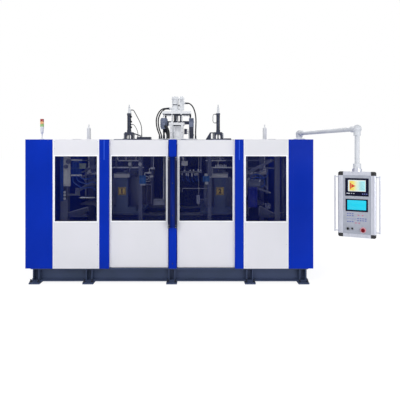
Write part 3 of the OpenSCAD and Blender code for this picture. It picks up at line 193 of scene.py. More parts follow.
# Satin powder coat in cooler greys: the frame inside, and small sheets on it.
frame_coat = coated("satin grey powder coat", "#666c83", "#71788f", 0.45)
plate_coat = coated("light satin grey powder coat", "#9ba1b6", "#a6acc0", 0.45)
# Structural paint: slate grey, rolled on thick, with a coarser skin.
slate_paint = coated("slate structural paint", "#3a465f", "#445070", 0.5, 0.012, 0.0003, 0.5,
    Specular_IOR_Level=0.3)
# Machine enamel: an even gloss skin, in the colour of each unit.
dark_enamel = enamel("dark grey machine enamel", "#1f263c", "#2c344f", 0.38, 0.15)
# Painted light: this white enamel is lightened beyond the light grey one to make up for the shade on the
# tower and the take-out cylinders.
tower_lightened_enamel = enamel("white machine enamel lightened as painted light", "#eff1f5", "#f7f8fb", 0.36, 0.3)
# Painted shade: the swing arm's white enamel is toned grey for the shade on its drop tube.
arm_shaded_enamel = enamel("grey machine enamel", "#cccfd5", "#d8dbe0", 0.36, 0.3)
tower_enamel = enamel("light grey machine enamel", "#e0e3e8", "#eef0f3", 0.36, 0.3)
clamp_coat = coated("light slate machine enamel", "#596783", "#65748f", 0.45, 0.006, 0.0001, 0.2)
navy_enamel = enamel("navy machine enamel", "#1f2746", "#2a3353", 0.42, 0.2)
lever_coat = enamel("grey lever enamel", "#6c728a", "#7b8198", 0.42, 0.1)
chute_coat = enamel("dark chute enamel", "#3f465f", "#4b536d", 0.45, 0.1)
motor_enamel = coated("blue grey motor enamel", "#6c7690", "#7f88a2", 0.42, 0.006, 0.0002, 0.1)
drive_enamel = coated("blue gearbox enamel", "#274c9f", "#3059b0", 0.4, 0.008, 0.0002, 0.3)
# White bead: PVC edge profile, smooth and bright.
white_bead = moulded("white PVC profile", "#f6f7fb", "#ffffff", 0.35)
# Satin powder coat of the door handles.
black_coat = coated("black satin powder coat", "#070b30", "#0c113c", 0.45, 0.005, 0.0001, 0.2,
    Specular_IOR_Level=0.2)
# Ground steel with lines along X, from the grinding of rails.
ground_steel = worked("ground steel", "#9ba0a9", "#b9bec6", 0.28, (0.05, 1, 1))
# Turned steel: rods and pins, lines round the upright axis show as fine level rings.
turned_steel = worked("turned steel", "#8d929b", "#b4b8c0", 0.24, (0.1, 0.1, 1))
# Milled aluminium, toned darker as painted shade: the moulds and platens stand in shadow behind the columns.
darkened_aluminium = worked("milled aluminium darkened as painted shade", "#747a86", "#8e939f", 0.36, (1, 1, 0.1), 0.006)
rolled_steel = worked("rolled stainless sheet", "#a6abb4", "#c3c7cf", 0.3, (1, 1, 0.06))
head_steel = worked("heat-tinted tool steel", "#7d8087", "#a19f9c", 0.36, (0.2, 0.2, 1))
# Satin anodised aluminium profile: fine upright drawing lines.
anodised = worked("satin anodised aluminium", "#c3c6d1", "#d3d5df", 0.42, (1, 1, 0.04), 0.003, 0.00003)
# Plastics and rubber, each with the fine grain of its mould.
membrane = moulded("grey membrane sheet", "#a0a4b0", "#a8acb8", 0.5)
black_rubber = moulded("black hose rubber", "#16171c", "#22242b", 0.55, 0.003, 0.0002)
cap_plastic = moulded("black glass-filled nylon", "#141518", "#1c1d21", 0.5)
bezel_plastic = moulded("black gloss bezel", "#050822", "#080c2a", 0.25, 0.004, 0.00002,
    Specular_IOR_Level=0.15)
stop_plastic = moulded("red stop button plastic", "#6c0a18", "#7a0f1e", 0.35, Specular_IOR_Level=0.15)
control_plastic = moulded("black control plastic", "#07080b", "#0d0e12", 0.35, Specular_IOR_Level=0.3)
# Sign enamel and paint, small metal parts, valve enamel.
yellow_plate = coated("yellow enamelled plate", "#ffd95a", "#ffe070", 0.4, 0.004, 0.00005, 0.05)
number_ink = moulded("black sign paint", "#12151f", "#191c27", 0.5)
chrome = worked("chrome plate", "#c9ccd2", "#dcdee2", 0.12, (1, 1, 1), 0.05, 0.00001)
blackened = worked("blackened steel fitting", "#2b2e36", "#3c404b", 0.45, (1, 1, 1), 0.004)
zinc = worked("zinc-plated steel", "#a9adb3", "#c7cad0", 0.32, (1, 1, 1), 0.004)
valve_enamel = coated("blue valve enamel", "#2c62a8", "#3a76bd", 0.4, 0.004, 0.0001, 0.05)


def tinted_glazing():
    """Dark navy acrylic: a thin tinted sheet whose tone lies over what stands behind it."""
    made, tree, shader, place = material("tinted navy acrylic", 0.06, IOR=1.49, Specular_IOR_Level=0.1,
        Alpha=0.34)
    tree.links.new(shades(tree, noise(tree, place, 0.5), "#050d42", "#08124c"), shader.inputs["Base Color"])
    return made


tinted_pane = tinted_glazing()


# Stack light: its upright axis, and the bottom and top of its three lenses.
LAMP_X, LAMP_Y = -2.133, -0.75
LENS_LOW, LENS_HIGH = 2.516, 2.645


def lens_plastic():
    """Clear coloured lens plastic: three colours up the stack, with the upright ribs of the lenses."""
    made, tree, shader, place = material("ribbed lens plastic", 0.18, Coat_Weight=0.4)
    z = add(tree, "SeparateXYZ", links={"Vector": place}).outputs["Z"]
    height = add(tree, "MapRange", {"From Min": LENS_LOW, "From Max": LENS_HIGH}, {"Value": z}).outputs[0]
    ramp = add(tree, "ValToRGB", links={"Fac": height})
    ramp.color_ramp.interpolation = "CONSTANT"
    stops = ramp.color_ramp.elements
    stops[0].position, stops[0].color = 0.0, linear("#93c275")
    stops[1].position, stops[1].color = 0.3333, linear("#f0b578")
    red = stops.new(0.6667)
    red.color = linear("#a5272a")
    tree.links.new(ramp.outputs[0], shader.inputs["Base Color"])
    centred = add(tree, "Mapping", {"Location": (-LAMP_X, -LAMP_Y, 0)}, {"Vector": place}).outputs[0]
    ribs = add(tree, "TexWave", {"Scale": 90.0}, {"Vector": centred}, wave_type="BANDS").outputs[1]
    relief(tree, shader, ribs, 0.0004)
    return made


lamp_lens = lens_plastic()

# Finish of each record slot, and of the nodes that differ from their slot.
SLOT_FINISH = {
    "base_paint": slate_paint, "ground_steel": ground_steel, "mould_aluminium": darkened_aluminium,
    "cabinet_blue": blue_coat, "panel_white": white_coat, "tinted_pane": tinted_pane,
    "handle_black": black_coat, "cylinder_grey": dark_enamel, "light_grey": tower_enamel,
    "tower_white": tower_enamel, "motor_blue_grey": motor_enamel, "head_steel": head_steel,
    "band_steel": rolled_steel, "drive_blue": drive_enamel, "hopper_steel": rolled_steel,
    "hose_rubber": black_rubber, "lamp_lens": lamp_lens, "panel_aluminium": anodised,
    "cap_plastic": cap_plastic, "display_bezel": bezel_plastic, "stop_red": stop_plastic,
    "control_black": control_plastic,
}
NODE_FINISH = {"top_frame": frame_coat, "rear_panels": rear_coat, "blow_pin_a": turned_steel,
    "blow_pin_b": turned_steel, "takeout_trays": rolled_steel, "extruder_barrel": head_steel,
    "panel_face": membrane, "clamp_frame_a": clamp_coat, "clamp_frame_b": clamp_coat,
    "head_tower": tower_lightened_enamel, "parison_servo": tower_enamel, "takeout_cylinders": tower_lightened_enamel,
    "swing_arm": arm_shaded_enamel}


def dress(thing, finish):
    """Gives every material slot of a thing one finish."""
    if not thing.material_slots:
        thing.data.materials.append(finish)
    for entry in thing.material_slots:
        entry.material = finish


for row in frame["record"]["subparts"]:
    dress(nodes[row["node"]], NODE_FINISH.get(row["node"], SLOT_FINISH[row["material_slot"]]))


def nothing_selected():
    """Leaves object mode with nothing selected."""
    if bpy.context.object and bpy.context.object.mode != "OBJECT":
        bpy.ops.object.mode_set(mode="OBJECT")
    bpy.ops.object.select_all(action="DESELECT")


def only(piece):
    """Makes a piece the one that is selected and active."""
    nothing_selected()
    piece.select_set(True)
    bpy.context.view_layer.objects.active = piece


def settle(piece):
    """Puts a piece's place into its mesh."""
    only(piece)
    bpy.ops.object.transform_apply(location=True, rotation=True, scale=True)


def modify(piece, kind, **settings):
    """Adds a modifier and applies it."""
    only(piece)
    made = piece.modifiers.new(kind.lower(), kind)
    for name, value in settings.items():
        setattr(made, name, value)
    bpy.ops.object.modifier_apply(modifier=made.name)


def round_edges(piece, radius, segments=2):
    """Rounds the sharp edges of a piece."""
    modify(piece, "BEVEL", width=radius, segments=segments, limit_method="ANGLE",
        angle_limit=math.radians(40))
    bpy.ops.object.shade_smooth_by_angle(angle=math.radians(35))


def block(name, low, high, radius=0.002):
    """A block between two corners with rounded edges."""
    nothing_selected()
    middle = [(a + b) / 2 for a, b in zip(low, high)]
    bpy.ops.mesh.primitive_cube_add(size=1, location=middle)
    piece = bpy.context.object
    piece.name = name
    piece.scale = [b - a for a, b in zip(low, high)]
    settle(piece)
    round_edges(piece, radius)
    return piece


TURN = {"x": (0, math.radians(90), 0), "y": (math.radians(90), 0, 0), "z": (0, 0, 0)}


def rod(name, middle, axis, length, radius, edge=0.001, sides=32):
    """A round or hexagonal bar about its middle, with its end edges rounded."""
    nothing_selected()
    bpy.ops.mesh.primitive_cylinder_add(vertices=sides, radius=radius, depth=length, location=middle,
        rotation=TURN[axis])
    piece = bpy.context.object
    piece.name = name
    settle(piece)
    round_edges(piece, edge)
    return piece


def joined(name, pieces):
    """Joins pieces into one."""
    nothing_selected()
    for piece in pieces:
        piece.select_set(True)
    bpy.context.view_layer.objects.active = pieces[0]
    if len(pieces) > 1:
        bpy.ops.object.join()
    pieces[0].name = name
    return pieces[0]


def copies(name, pattern, places):
    """Copies a pattern at the origin to each place, a point or a matrix, and joins the copies."""
    made = []
    for place in places:
        matrix = place if isinstance(place, Matrix) else Matrix.Translation(place)
        copy = pattern.copy()
        copy.data = pattern.data.copy()
        copy.data.transform(matrix)
        scene.collection.objects.link(copy)
        made.append(copy)
    bpy.data.objects.remove(pattern)
    return joined(name, made)


def pick(piece, test):
    """Goes to edit mode with the faces selected whose middle and normal pass the test."""
    only(piece)
    bpy.ops.object.mode_set(mode="EDIT")
    bpy.ops.mesh.select_mode(type="FACE")
    bpy.ops.mesh.select_all(action="DESELECT")
    bpy.ops.object.mode_set(mode="OBJECT")
    for face in piece.data.polygons:
        face.select = test(face.center, face.normal)
    bpy.ops.object.mode_set(mode="EDIT")


def recess(piece, test, margin, depth):
    """Sinks the picked faces, less a margin, into the piece; a negative depth raises them."""
    pick(piece, test)
    bpy.ops.mesh.inset(thickness=margin, depth=0)
    bpy.ops.mesh.inset(thickness=min(margin, abs(depth)) * 0.2, depth=-depth)
    bpy.ops.object.mode_set(mode="OBJECT")


def faces_front(middle, normal):
    """True for a face that looks to the front."""
    return normal.y < -0.99


def screws(name, places, radius, face="-y", finish=zinc, body="machine"):
    """Socket screws at places on faces that look one way; each head has a sunk hexagon."""
    head = rod("screw", (0, -0.3 * radius, 0), "y", 0.6 * radius, radius, 0.14 * radius, 12)
    recess(head, lambda middle, normal: normal.y < -0.99 and middle.xz.length < 0.5 * radius,
           0.42 * radius, 0.35 * radius)
    turn = {"-y": (0, "Z"), "+y": (180, "Z"), "-x": (-90, "Z"), "+x": (90, "Z"), "+z": (-90, "X")}[face]
    head.data.transform(Matrix.Rotation(math.radians(turn[0]), 4, turn[1]))
    return keep(copies(name, head, places), finish, body)


def pipe(name, route, radius, bend=0.02):
    """A rigid round pipe along straight stretches with a rounded elbow at each inner point."""
    line = bpy.data.curves.new(name + "_line", "CURVE")
    line.dimensions = "3D"
    line.bevel_depth = radius
    line.bevel_resolution = 3
    line.use_fill_caps = True
    points = [Vector(p) for p in route]
    path = [points[0]]
    for before, here, after in zip(points, points[1:], points[2:]):
        start = here + (before - here).normalized() * bend
        stop = here + (after - here).normalized() * bend
        path += [start.lerp(here, t).lerp(here.lerp(stop, t), t) for t in (0.0, 0.25, 0.5, 0.75, 1.0)]
    path.append(points[-1])
    spline = line.splines.new("POLY")
    spline.points.add(len(path) - 1)
    for point, place in zip(spline.points, path):
        point.co = (*place, 1)
    piece = bpy.data.objects.new(name, line)
    scene.collection.objects.link(piece)
    only(piece)
    bpy.ops.object.convert(target="MESH")
    bpy.ops.object.shade_smooth_by_angle(angle=math.radians(40))
    return piece


def level(y, points):
    """A route that lies in the plane at y, from its X and Z pairs."""
    return [(x, y, z) for x, z in points]


def plate(name, outline, y0, y1, radius=0.002):
    """A flat plate whose outline is given in X and Z, between two Y places, with rounded edges."""
    nothing_selected()
    mesh = bpy.data.meshes.new(name)
    mesh.from_pydata([(x, y0, z) for x, z in outline], [], [tuple(range(len(outline)))])
    piece = bpy.data.objects.new(name, mesh)
    scene.collection.objects.link(piece)
    pick(piece, lambda middle, normal: True)
    bpy.ops.mesh.extrude_region_move(TRANSFORM_OT_translate={"value": (0, y1 - y0, 0)})
    bpy.ops.mesh.select_all(action="SELECT")
    bpy.ops.mesh.normals_make_consistent(inside=False)
    bpy.ops.object.mode_set(mode="OBJECT")
    round_edges(piece, radius)
    return piece


def turned(name, middle, axis, profile):
    """A turned piece: (place along the axis, radius) pairs spun round it."""
    nothing_selected()
    mesh = bpy.data.meshes.new(name)
    mesh.from_pydata([(r, 0, a) for a, r in profile], [(i, i + 1) for i in range(len(profile) - 1)], [])
    piece = bpy.data.objects.new(name, mesh)
    scene.collection.objects.link(piece)
    only(piece)
    bpy.ops.object.mode_set(mode="EDIT")
    bpy.ops.mesh.select_all(action="SELECT")
    bpy.ops.mesh.spin(steps=24, angle=math.tau, axis=(0, 0, 1), center=(0, 0, 0))
    bpy.ops.mesh.select_all(action="SELECT")
    bpy.ops.mesh.remove_doubles(threshold=0.00001)
    bpy.ops.mesh.normals_make_consistent(inside=False)
    bpy.ops.object.mode_set(mode="OBJECT")
    bpy.ops.object.shade_smooth_by_angle(angle=math.radians(35))
    turn = {"x": (90, "Y"), "y": (-90, "X"), "z": (0, "Z")}[axis]
    piece.data.transform(Matrix.Translation(middle) @ Matrix.Rotation(math.radians(turn[0]), 4, turn[1]))
    return piece


def keep(piece, finish, body="machine"):
    """Gives a finished piece its finish and puts it on the body it rides on."""
    piece.data.materials.clear()
    piece.data.materials.append(finish)
    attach(piece, body)
    return piece


def fix(name, pieces, finish):
    """Joins pieces into one that is fixed to the machine."""
    return keep(joined(name, pieces), finish)


def case(name, low, high, finish, rim=0.01, sink=0.002, radius=0.004, body="machine"):
    """A housing or cover with a sunk field on its front."""
    piece = block(name, low, high, radius)
    recess(piece, faces_front, rim, sink)
    return keep(piece, finish, body)


# Hoses, first of all pieces: diameter, Y of the plane they lie in, X and Z from fitting to fitting.
HOSES = {
    "tower_hose_outer": (0.024, -0.04, ((-0.075, 2.894), (-0.13, 2.894), (-0.19, 2.884), (-0.245, 2.844),
        (-0.285, 2.78), (-0.308, 2.7), (-0.31, 2.62), (-0.298, 2.54), (-0.277, 2.47), (-0.258, 2.42),
        (-0.252, 2.39), (-0.252, 2.341))),
    "tower_hose_inner": (0.024, 0.04, ((-0.075, 2.894), (-0.12, 2.894), (-0.17, 2.88), (-0.22, 2.838),
        (-0.258, 2.775), (-0.28, 2.7), (-0.282, 2.62), (-0.27, 2.54), (-0.249, 2.47), (-0.23, 2.42),
        (-0.224, 2.39), (-0.224, 2.341))),
    "tower_hose_right": (0.024, 0, ((0.225, 2.992), (0.275, 2.992), (0.325, 2.966), (0.366, 2.912),
        (0.394, 2.84), (0.41, 2.76), (0.416, 2.67), (0.414, 2.57), (0.41, 2.46), (0.41, 2.341))),
    "motor_hose_outer": (0.034, 0.04, ((-0.178, 2.518), (-0.178, 2.44), (-0.178, 2.341))),
    "motor_hose_inner": (0.034, 0.04, ((-0.136, 2.518), (-0.136, 2.49), (-0.126, 2.44), (-0.114, 2.392),
        (-0.114, 2.341))),
    "pin_hose_upper": (0.014, 0, ((-0.773, 2.868), (-0.745, 2.868), (-0.71, 2.82), (-0.675, 2.755),
        (-0.64, 2.69), (-0.608, 2.62), (-0.59, 2.55), (-0.585, 2.48), (-0.585, 2.395))),
    "pin_hose_lower": (0.01, 0, ((-0.765, 2.6), (-0.74, 2.6), (-0.708, 2.566), (-0.68, 2.515),
        (-0.66, 2.46), (-0.655, 2.42), (-0.655, 2.395))),
    "pin_hose_right": (0.01, 0, ((0.775, 2.79), (0.75, 2.79), (0.732, 2.76), (0.73, 2.71), (0.732, 2.66),
        (0.75, 2.63), (0.775, 2.63))),
}
# Steps of a hose's line between two of its points.
FINE = 8


def hose(name, diameter, route):
    """A round hose on one smooth line through its route's points; returns the piece and its length."""
    line = bpy.data.curves.new(name + "_line", "CURVE")
    line.dimensions = "3D"
    line.bevel_depth = diameter / 2
    line.bevel_resolution = 4
    line.resolution_u = FINE
    spline = line.splines.new("BEZIER")
    spline.bezier_points.add(len(route) - 1)
    for point, place in zip(spline.bezier_points, route):
        point.co = place
        point.handle_left_type = point.handle_right_type = "AUTO"
    piece = bpy.data.objects.new(name + "_rubber", line)
    scene.collection.objects.link(piece)
    bpy.context.view_layer.update()
    length = 0
    for a, b in zip(spline.bezier_points, spline.bezier_points[1:]):
        path = interpolate_bezier(a.co, a.handle_right, b.handle_left, b.co, FINE + 1)
        length += sum((q - p).length for p, q in zip(path, path[1:]))
    return piece, length


for name, (diameter, y, points) in HOSES.items():
    route = level(y, points)
    piece, length = hose(name, diameter, route)
    ends = []
    for end, inner in ((route[0], route[1]), (route[-1], route[-2])):
        way = (Vector(inner) - Vector(end)).normalized()
        turn = way.to_track_quat("Z", "Y").to_matrix().to_4x4()
        sleeve = rod(name + "_sleeve", (0, 0, diameter), "z", 1.9 * diameter, 0.62 * diameter, 0.0012, 24)
        nut = rod(name + "_nut", (0, 0, 0.1 * diameter), "z", 0.5 * diameter, 0.8 * diameter, 0.001, 6)
        fitting = joined(name + "_fitting", [sleeve, nut])
        fitting.data.transform(Matrix.Translation(end) @ turn)
        ends.append(fitting)
    fittings = fix(name + "_fittings", ends, blackened)
    piece.data.materials.append(black_rubber)
    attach(piece, "machine")
    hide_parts(name)

# Plain pale floor and an even white surround.
world = bpy.data.worlds.new("studio")
scene.world = world
world.use_nodes = True
sky = world.node_tree
sky.nodes.clear()
rays = add(sky, "LightPath")
seen = add(sky, "Math", links={0: rays.outputs["Is Camera Ray"], 1: rays.outputs["Is Glossy Ray"]},
           operation="MAXIMUM")
seen = add(sky, "Math", links={0: seen.outputs[0], 1: rays.outputs["Is Transmission Ray"]},
    operation="MAXIMUM")
dim = add(sky, "Background", {"Color": (0.95, 0.97, 1.0, 1.0), "Strength": 0.53})
bright = add(sky, "Background", {"Color": (1.0, 1.0, 1.0, 1.0), "Strength": 1.0})
both = add(sky, "MixShader", links={0: seen.outputs[0], 1: dim.outputs[0], 2: bright.outputs[0]})
add(sky, "OutputWorld", links={"Surface": both.outputs[0]})


def pale_floor():
    """Matt white floor that keeps the shadow and runs into the white surround."""
    made, tree, shader, _ = material("pale floor", 0.8, colour="#f4f4f6")
    glow = add(tree, "Emission", {"Color": (1.0, 1.0, 1.0, 1.0), "Strength": 1.2})
    rays = add(tree, "LightPath")
    part = add(tree, "Math", {1: 0.72}, {0: rays.outputs["Is Camera Ray"]}, operation="MULTIPLY")
    mix = add(tree, "MixShader", links={0: part.outputs[0], 1: shader.outputs[0], 2: glow.outputs[0]})
    out = [n for n in tree.nodes if n.bl_idname == "ShaderNodeOutputMaterial"][0]
    tree.links.new(mix.outputs[0], out.inputs["Surface"])
    return made


nothing_selected()
bpy.ops.mesh.primitive_plane_add(size=160, location=(0, 0, 0))
floor = bpy.context.object
floor.name = "floor"
floor.data.materials.append(pale_floor())


def lamp(name, place, target, size, power):
    """A large soft lamp."""
    light = bpy.data.lights.new(name, "AREA")
    light.shape = "RECTANGLE"
    light.size, light.size_y = size
    light.energy = power
    piece = bpy.data.objects.new(name, light)
    piece.location = place
    piece.rotation_euler = (Vector(target) - Vector(place)).to_track_quat("-Z", "Y").to_euler()
    scene.collection.objects.link(piece)


lamp("key", (-3.5, -7.0, 6.5), (0, 0, 1.2), (5, 4), 262)
lamp("fill", (5.5, -7.5, 2.2), (0.3, 0, 0.9), (5, 3), 150)
lamp("rear", (1.0, 7.5, 6.0), (0, 0, 1.4), (6, 4), 180)

# Front: levels and edges of the sheets and windows.
BASE_TOP, TOP = 0.232, 2.3
DOOR_LOW, DOOR_HIGH = 0.24, 2.292
WIN_LOW, WIN_HIGH = 0.989, 2.032
# Margin between a sheet's edge and its window, and how far the window's bead reaches onto the sheet.
MARGIN, OVER = 0.033, 0.02
PANEL_Y, DOOR_Y, REAR_Y = -1.0, -0.962, 1.0
FRONT = {
    "side_left": (-1.866, -1.123, PANEL_Y, "machine"),
    "left_door": (-0.966, -0.022, DOOR_Y, "left_door"),
    "right_door": (0.126, 1.051, DOOR_Y, "right_door"),
    "side_right": (1.191, 1.907, PANEL_Y, "machine"),
}


def bead(name, x0, x1, z0, z1, y, width, proud):
    """A flat profile round a rectangle, standing proud of the sheet at y."""
    nothing_selected()
    bpy.ops.mesh.primitive_plane_add(size=1, location=((x0 + x1) / 2, y, (z0 + z1) / 2), rotation=TURN["y"])
    piece = bpy.context.object
    piece.name = name
    piece.scale = (x1 - x0, z1 - z0, 1)
    settle(piece)
    bpy.ops.object.mode_set(mode="EDIT")
    bpy.ops.mesh.select_all(action="SELECT")
    bpy.ops.mesh.inset(thickness=width, depth=0)
    bpy.ops.mesh.delete(type="FACE")
    bpy.ops.object.mode_set(mode="OBJECT")
    modify(piece, "SOLIDIFY", thickness=proud, offset=1)
    round_edges(piece, proud * 0.3)
    return piece


for name, (x0, x1, y, body) in FRONT.items():
    frame_bead = bead(name + "_window_bead", x0 + MARGIN - OVER, x1 - MARGIN + OVER, WIN_LOW - OVER,
        WIN_HIGH + OVER, y, 0.022, 0.004)
    low, high = (BASE_TOP, TOP) if y == PANEL_Y else (DOOR_LOW, DOOR_HIGH)
    trims = [block("trim", (x, y - 0.002, low + 0.002), (x + 0.012, y + 0.001, high - 0.002), 0.0008)
             for x in (x0 + 0.0005, x1 - 0.0125)]
    keep(joined(name + "_beads", [frame_bead] + trims), white_bead, body)

# Stations: number, X of the clamp column and the blow pin, carriage.
STATIONS = (("1", -0.815, "carriage_b"), ("2", 0.825, "carriage_a"))

# Station plates: a black number in a black border on each enamelled plate.
PLATE_Z, PLATE_Y, PLATE_HALF = 1.442, -0.704, 0.065
for number, x, body in STATIONS:
    sheet = block("station_plate_" + number, (x - PLATE_HALF, PLATE_Y - 0.003, PLATE_Z - PLATE_HALF),
        (x + PLATE_HALF, PLATE_Y + 0.001, PLATE_Z + PLATE_HALF), 0.0012)
    keep(sheet, yellow_plate, body)
    nothing_selected()
    bpy.ops.object.text_add(location=(x, PLATE_Y - 0.003, PLATE_Z - 0.037), rotation=TURN["y"])
    sign = bpy.context.object
    sign.data.body = number
    sign.data.size = 0.105
    sign.data.align_x = "CENTER"
    sign.data.extrude = 0.0006
    sign.data.offset = 0.005
    bpy.ops.object.convert(target="MESH")
    settle(sign)
    border = bead("border", x - 0.058, x + 0.058, PLATE_Z - 0.058, PLATE_Z + 0.058, PLATE_Y - 0.003, 0.009,
        0.0008)
    keep(joined("station_number_" + number, [sign, border]), number_ink, body)

# Light grey plates on the heads of the clamp columns: a painted highlight where light falls on the heads.
for number, x, body in STATIONS:
    case("head_highlight_plate_" + number, (x - 0.13, -0.722, 1.668), (x + 0.13, -0.714, 1.732),
        tower_enamel, 0.008, 0.001, 0.002, body)

# Operator panel: pieces are made facing -Y about the panel's upright axis, then put in their place.
PIVOT, ARM, ARM_ANGLE, PANEL_TURN = Vector((2.14, -0.75, 0)), 1.52, math.radians(-75), math.radians(-24)
AXIS = PIVOT + ARM * Vector((math.cos(ARM_ANGLE), math.sin(ARM_ANGLE), 0))
AT_PANEL = Matrix.Translation(AXIS) @ Matrix.Rotation(PANEL_TURN, 4, "Z")
FACE = -0.059
SCREEN = FACE - 0.003
BEZEL = FACE - 0.005


def on_panel(piece, finish):
    """Puts a piece onto the operator panel."""
    piece.data.transform(AT_PANEL)
    return keep(piece, finish, "operator_panel")


# X of the colour display's two edges.
PICTURE_LEFT, PICTURE_RIGHT = 2.41, 2.605


def lit(name, colour, stops=()):
    """Backlit display glass with a little light of its own; stops blend more colours across the panel."""
    made, tree, shader, place = material(name, 0.15, colour=colour, Emission_Strength=0.4)
    shader.inputs["Emission Color"].default_value = linear(colour)
    if stops:
        x = add(tree, "SeparateXYZ", links={"Vector": place}).outputs["X"]
        across = add(tree, "MapRange", {"From Min": PICTURE_LEFT, "From Max": PICTURE_RIGHT},
            {"Value": x}).outputs[0]
        ramp = add(tree, "ValToRGB", links={"Fac": across})
        for position, tone in stops:
            ramp.color_ramp.elements.new(position).color = linear(tone)
        ramp.color_ramp.elements[0].color = linear(colour)
        ramp.color_ramp.elements[-1].color = linear(stops[-1][1])
        tree.links.new(ramp.outputs[0], shader.inputs["Base Color"])
        tree.links.new(ramp.outputs[0], shader.inputs["Emission Color"])
    relief(tree, shader, noise(tree, place, 0.002, 0.0), 0.00002)
    return made


pale_screen = lit("pale display picture", "#c2cbc9")
picture_screen = lit("yellow to aqua display picture", "#cba83c", ((0.3, "#cdc05a"), (0.5, "#bfc9b4"),
    (0.75, "#8fc6cb")))
red_screen = lit("red display picture", "#b22f23")
cyan_screen = lit("cyan display", "#04b2ca")
grey_screen = lit("grey display picture", "#6f8593")


def tile(name, x0, x1, z0, z1, y, deep=0.0008):
    """A thin tile whose back lies at y."""
    return block(name, (x0, y - deep, z0), (x1, y, z1), deep * 0.3)


on_panel(tile("upper_screen", -0.1065, 0.1065, 1.5965, 1.7425, SCREEN), pale_screen)
on_panel(tile("upper_screen_picture", -0.09, 0.099, 1.606, 1.731, SCREEN - 0.0008, 0.0004),
         picture_screen)
nothing_selected()
bpy.ops.mesh.primitive_cylinder_add(vertices=3, radius=0.032, depth=0.0004,
    location=(-0.05, SCREEN - 0.0014, 1.667), rotation=(math.radians(90), math.radians(90), 0))
arrow = bpy.context.object
settle(arrow)
round_edges(arrow, 0.0001)
stripe = tile("stripe", -0.083, -0.07, 1.628, 1.706, SCREEN - 0.0012, 0.0004)
on_panel(joined("upper_screen_flow", [arrow, stripe]), red_screen)
lines = [tile("line", 0.03, 0.088 - 0.012 * (k % 3), 1.625 + 0.014 * k, 1.628 + 0.014 * k, SCREEN - 0.0012,
    0.0003) for k in range(7)]
on_panel(joined("upper_screen_lines", lines), grey_screen)
on_panel(tile("lower_screen", -0.1155, 0.1115, 1.3585, 1.4825, SCREEN), cyan_screen)

# Membrane keys in blocks, and the plain marks of the display's bezel.
key_pale = moulded("pale membrane key", "#8d92b8", "#989dc0", 0.45)
key_blue = moulded("blue membrane key", "#5560a0", "#6470ac", 0.45)
key_pink = moulded("pink membrane key", "#b8627f", "#c0708b", 0.45)
bright_key = moulded("pale grey plastic key", "#c9ced6", "#d2d6dd", 0.45)


def keys(name, columns, rows, x0, z0, step_x, step_z, finish, size=(0.02, 0.012), y=FACE):
    """Keys in columns and rows on the panel, from the lowest left one."""
    pattern = block("key", (-size[0] / 2, -0.0012, -size[1] / 2), (size[0] / 2, 0, size[1] / 2), 0.0005)
    places = [(x0 + step_x * i, y, z0 + step_z * j) for i in range(columns) for j in range(rows)]
    on_panel(copies(name, pattern, places), finish)


keys("keys_left_top", 3, 2, -0.11, 1.282, 0.03, 0.026, key_blue)
keys("keys_left_mid", 4, 1, -0.11, 1.24, 0.03, 0.026, key_pale)
keys("keys_left_low", 3, 1, -0.11, 1.205, 0.03, 0.026, key_blue)
keys("keys_right_top", 2, 1, 0.02, 1.29, 0.05, 0.026, key_pink)
keys("keys_right_mid", 4, 2, 0.015, 1.222, 0.03, 0.026, key_blue)
keys("keys_right_low", 2, 1, -0.012, 1.19, 0.04, 0.026, key_pink)
keys("bezel_plate", 1, 1, -0.1035, 1.569, 0.024, 0.026, bright_key, (0.043, 0.011), BEZEL)
keys("bezel_keys_left", 2, 1, -0.063, 1.569, 0.027, 0.026, bright_key, (0.012, 0.01), BEZEL)
keys("bezel_keys_right", 3, 1, 0.07, 1.566, 0.024, 0.026, key_blue, (0.014, 0.014), BEZEL)

# Legend ring round the emergency stop.
ring = rod("stop_legend_ring", (0, 0, 0), "y", 0.0016, 0.036, 0.0004, 40)
ring.data.transform(Matrix.Translation((0.075, FACE - 0.0006, 1.104)))
on_panel(ring, moulded("pink legend plate", "#d68f9b", "#dc9aa6", 0.45))

# Centre post, columns and handles: screws, a dark blue sheet painted as the shade in the post's recess, and
# slim light blue strips below the columns' top edge that paint a highlight on the columns.
screws("post_screws", [(0.0515, PANEL_Y - 0.0012 * (z > 0.8), z) for z in (0.311, 1.084, 1.599)], 0.009,
    finish=dark_enamel)
# Painted highlight: the light blue strips stand for the gloss highlight along the columns' fronts.
strips = [block("strip", (x - 0.008, -1.004, 1.972), (x + 0.008, -0.999, TOP - 0.012), 0.0012)
          for x in (-1.043, 1.121)]
fix("column_highlight_strips", strips, coated("light blue painted highlight", "#2a52d2", "#2f58d8", 0.4,
    Specular_IOR_Level=0.1))
screws("column_screws", [(x, PANEL_Y, z) for x in (-1.046, 1.122) for z in (2.02, 1.985)], 0.006)
for side, x in (("left", -0.006), ("right", 0.11)):
    low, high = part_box(side + "_handle")
    screws(side + "_handle_screws", [(x, -1.04, z) for z in (low[2] + 0.016, low[2] + 0.05, high[2] - 0.05,
        high[2] - 0.016)], 0.0055, body=side + "_door", finish=chrome)
# Painted shade: a dark blue sheet in the post's recess stands for the shade that falls there.
shade_blue = coated("dark blue painted shade", "#022382", "#03288e", 0.4, Specular_IOR_Level=0.1)
case("post_shade_sheet", (0.0115, -1.0012, 0.8835), (0.0925, -0.9965, 2.0245), shade_blue, 0.006,
    0.001, 0.0008)

# Sheet screws along the edges of the fixed panels and the rear trays.
edge_levels = (0.262, 0.76, 1.27, 1.78, 2.27)
screws("panel_screws", [(x, PANEL_Y, z) for x in (-1.838, -1.151, 1.219, 1.879)
    for z in (0.262, 0.62, 2.16, 2.27)], 0.005, finish=chrome)
rear_edges = (-1.866, -1.1015, -0.335, 0.465, 1.186, 1.907)
screws("rear_screws", [(x + dx, REAR_Y, z) for a, b in zip(rear_edges, rear_edges[1:])
    for x, dx in ((a, 0.022), (b, -0.024)) for z in edge_levels], 0.008, "+y", chrome)

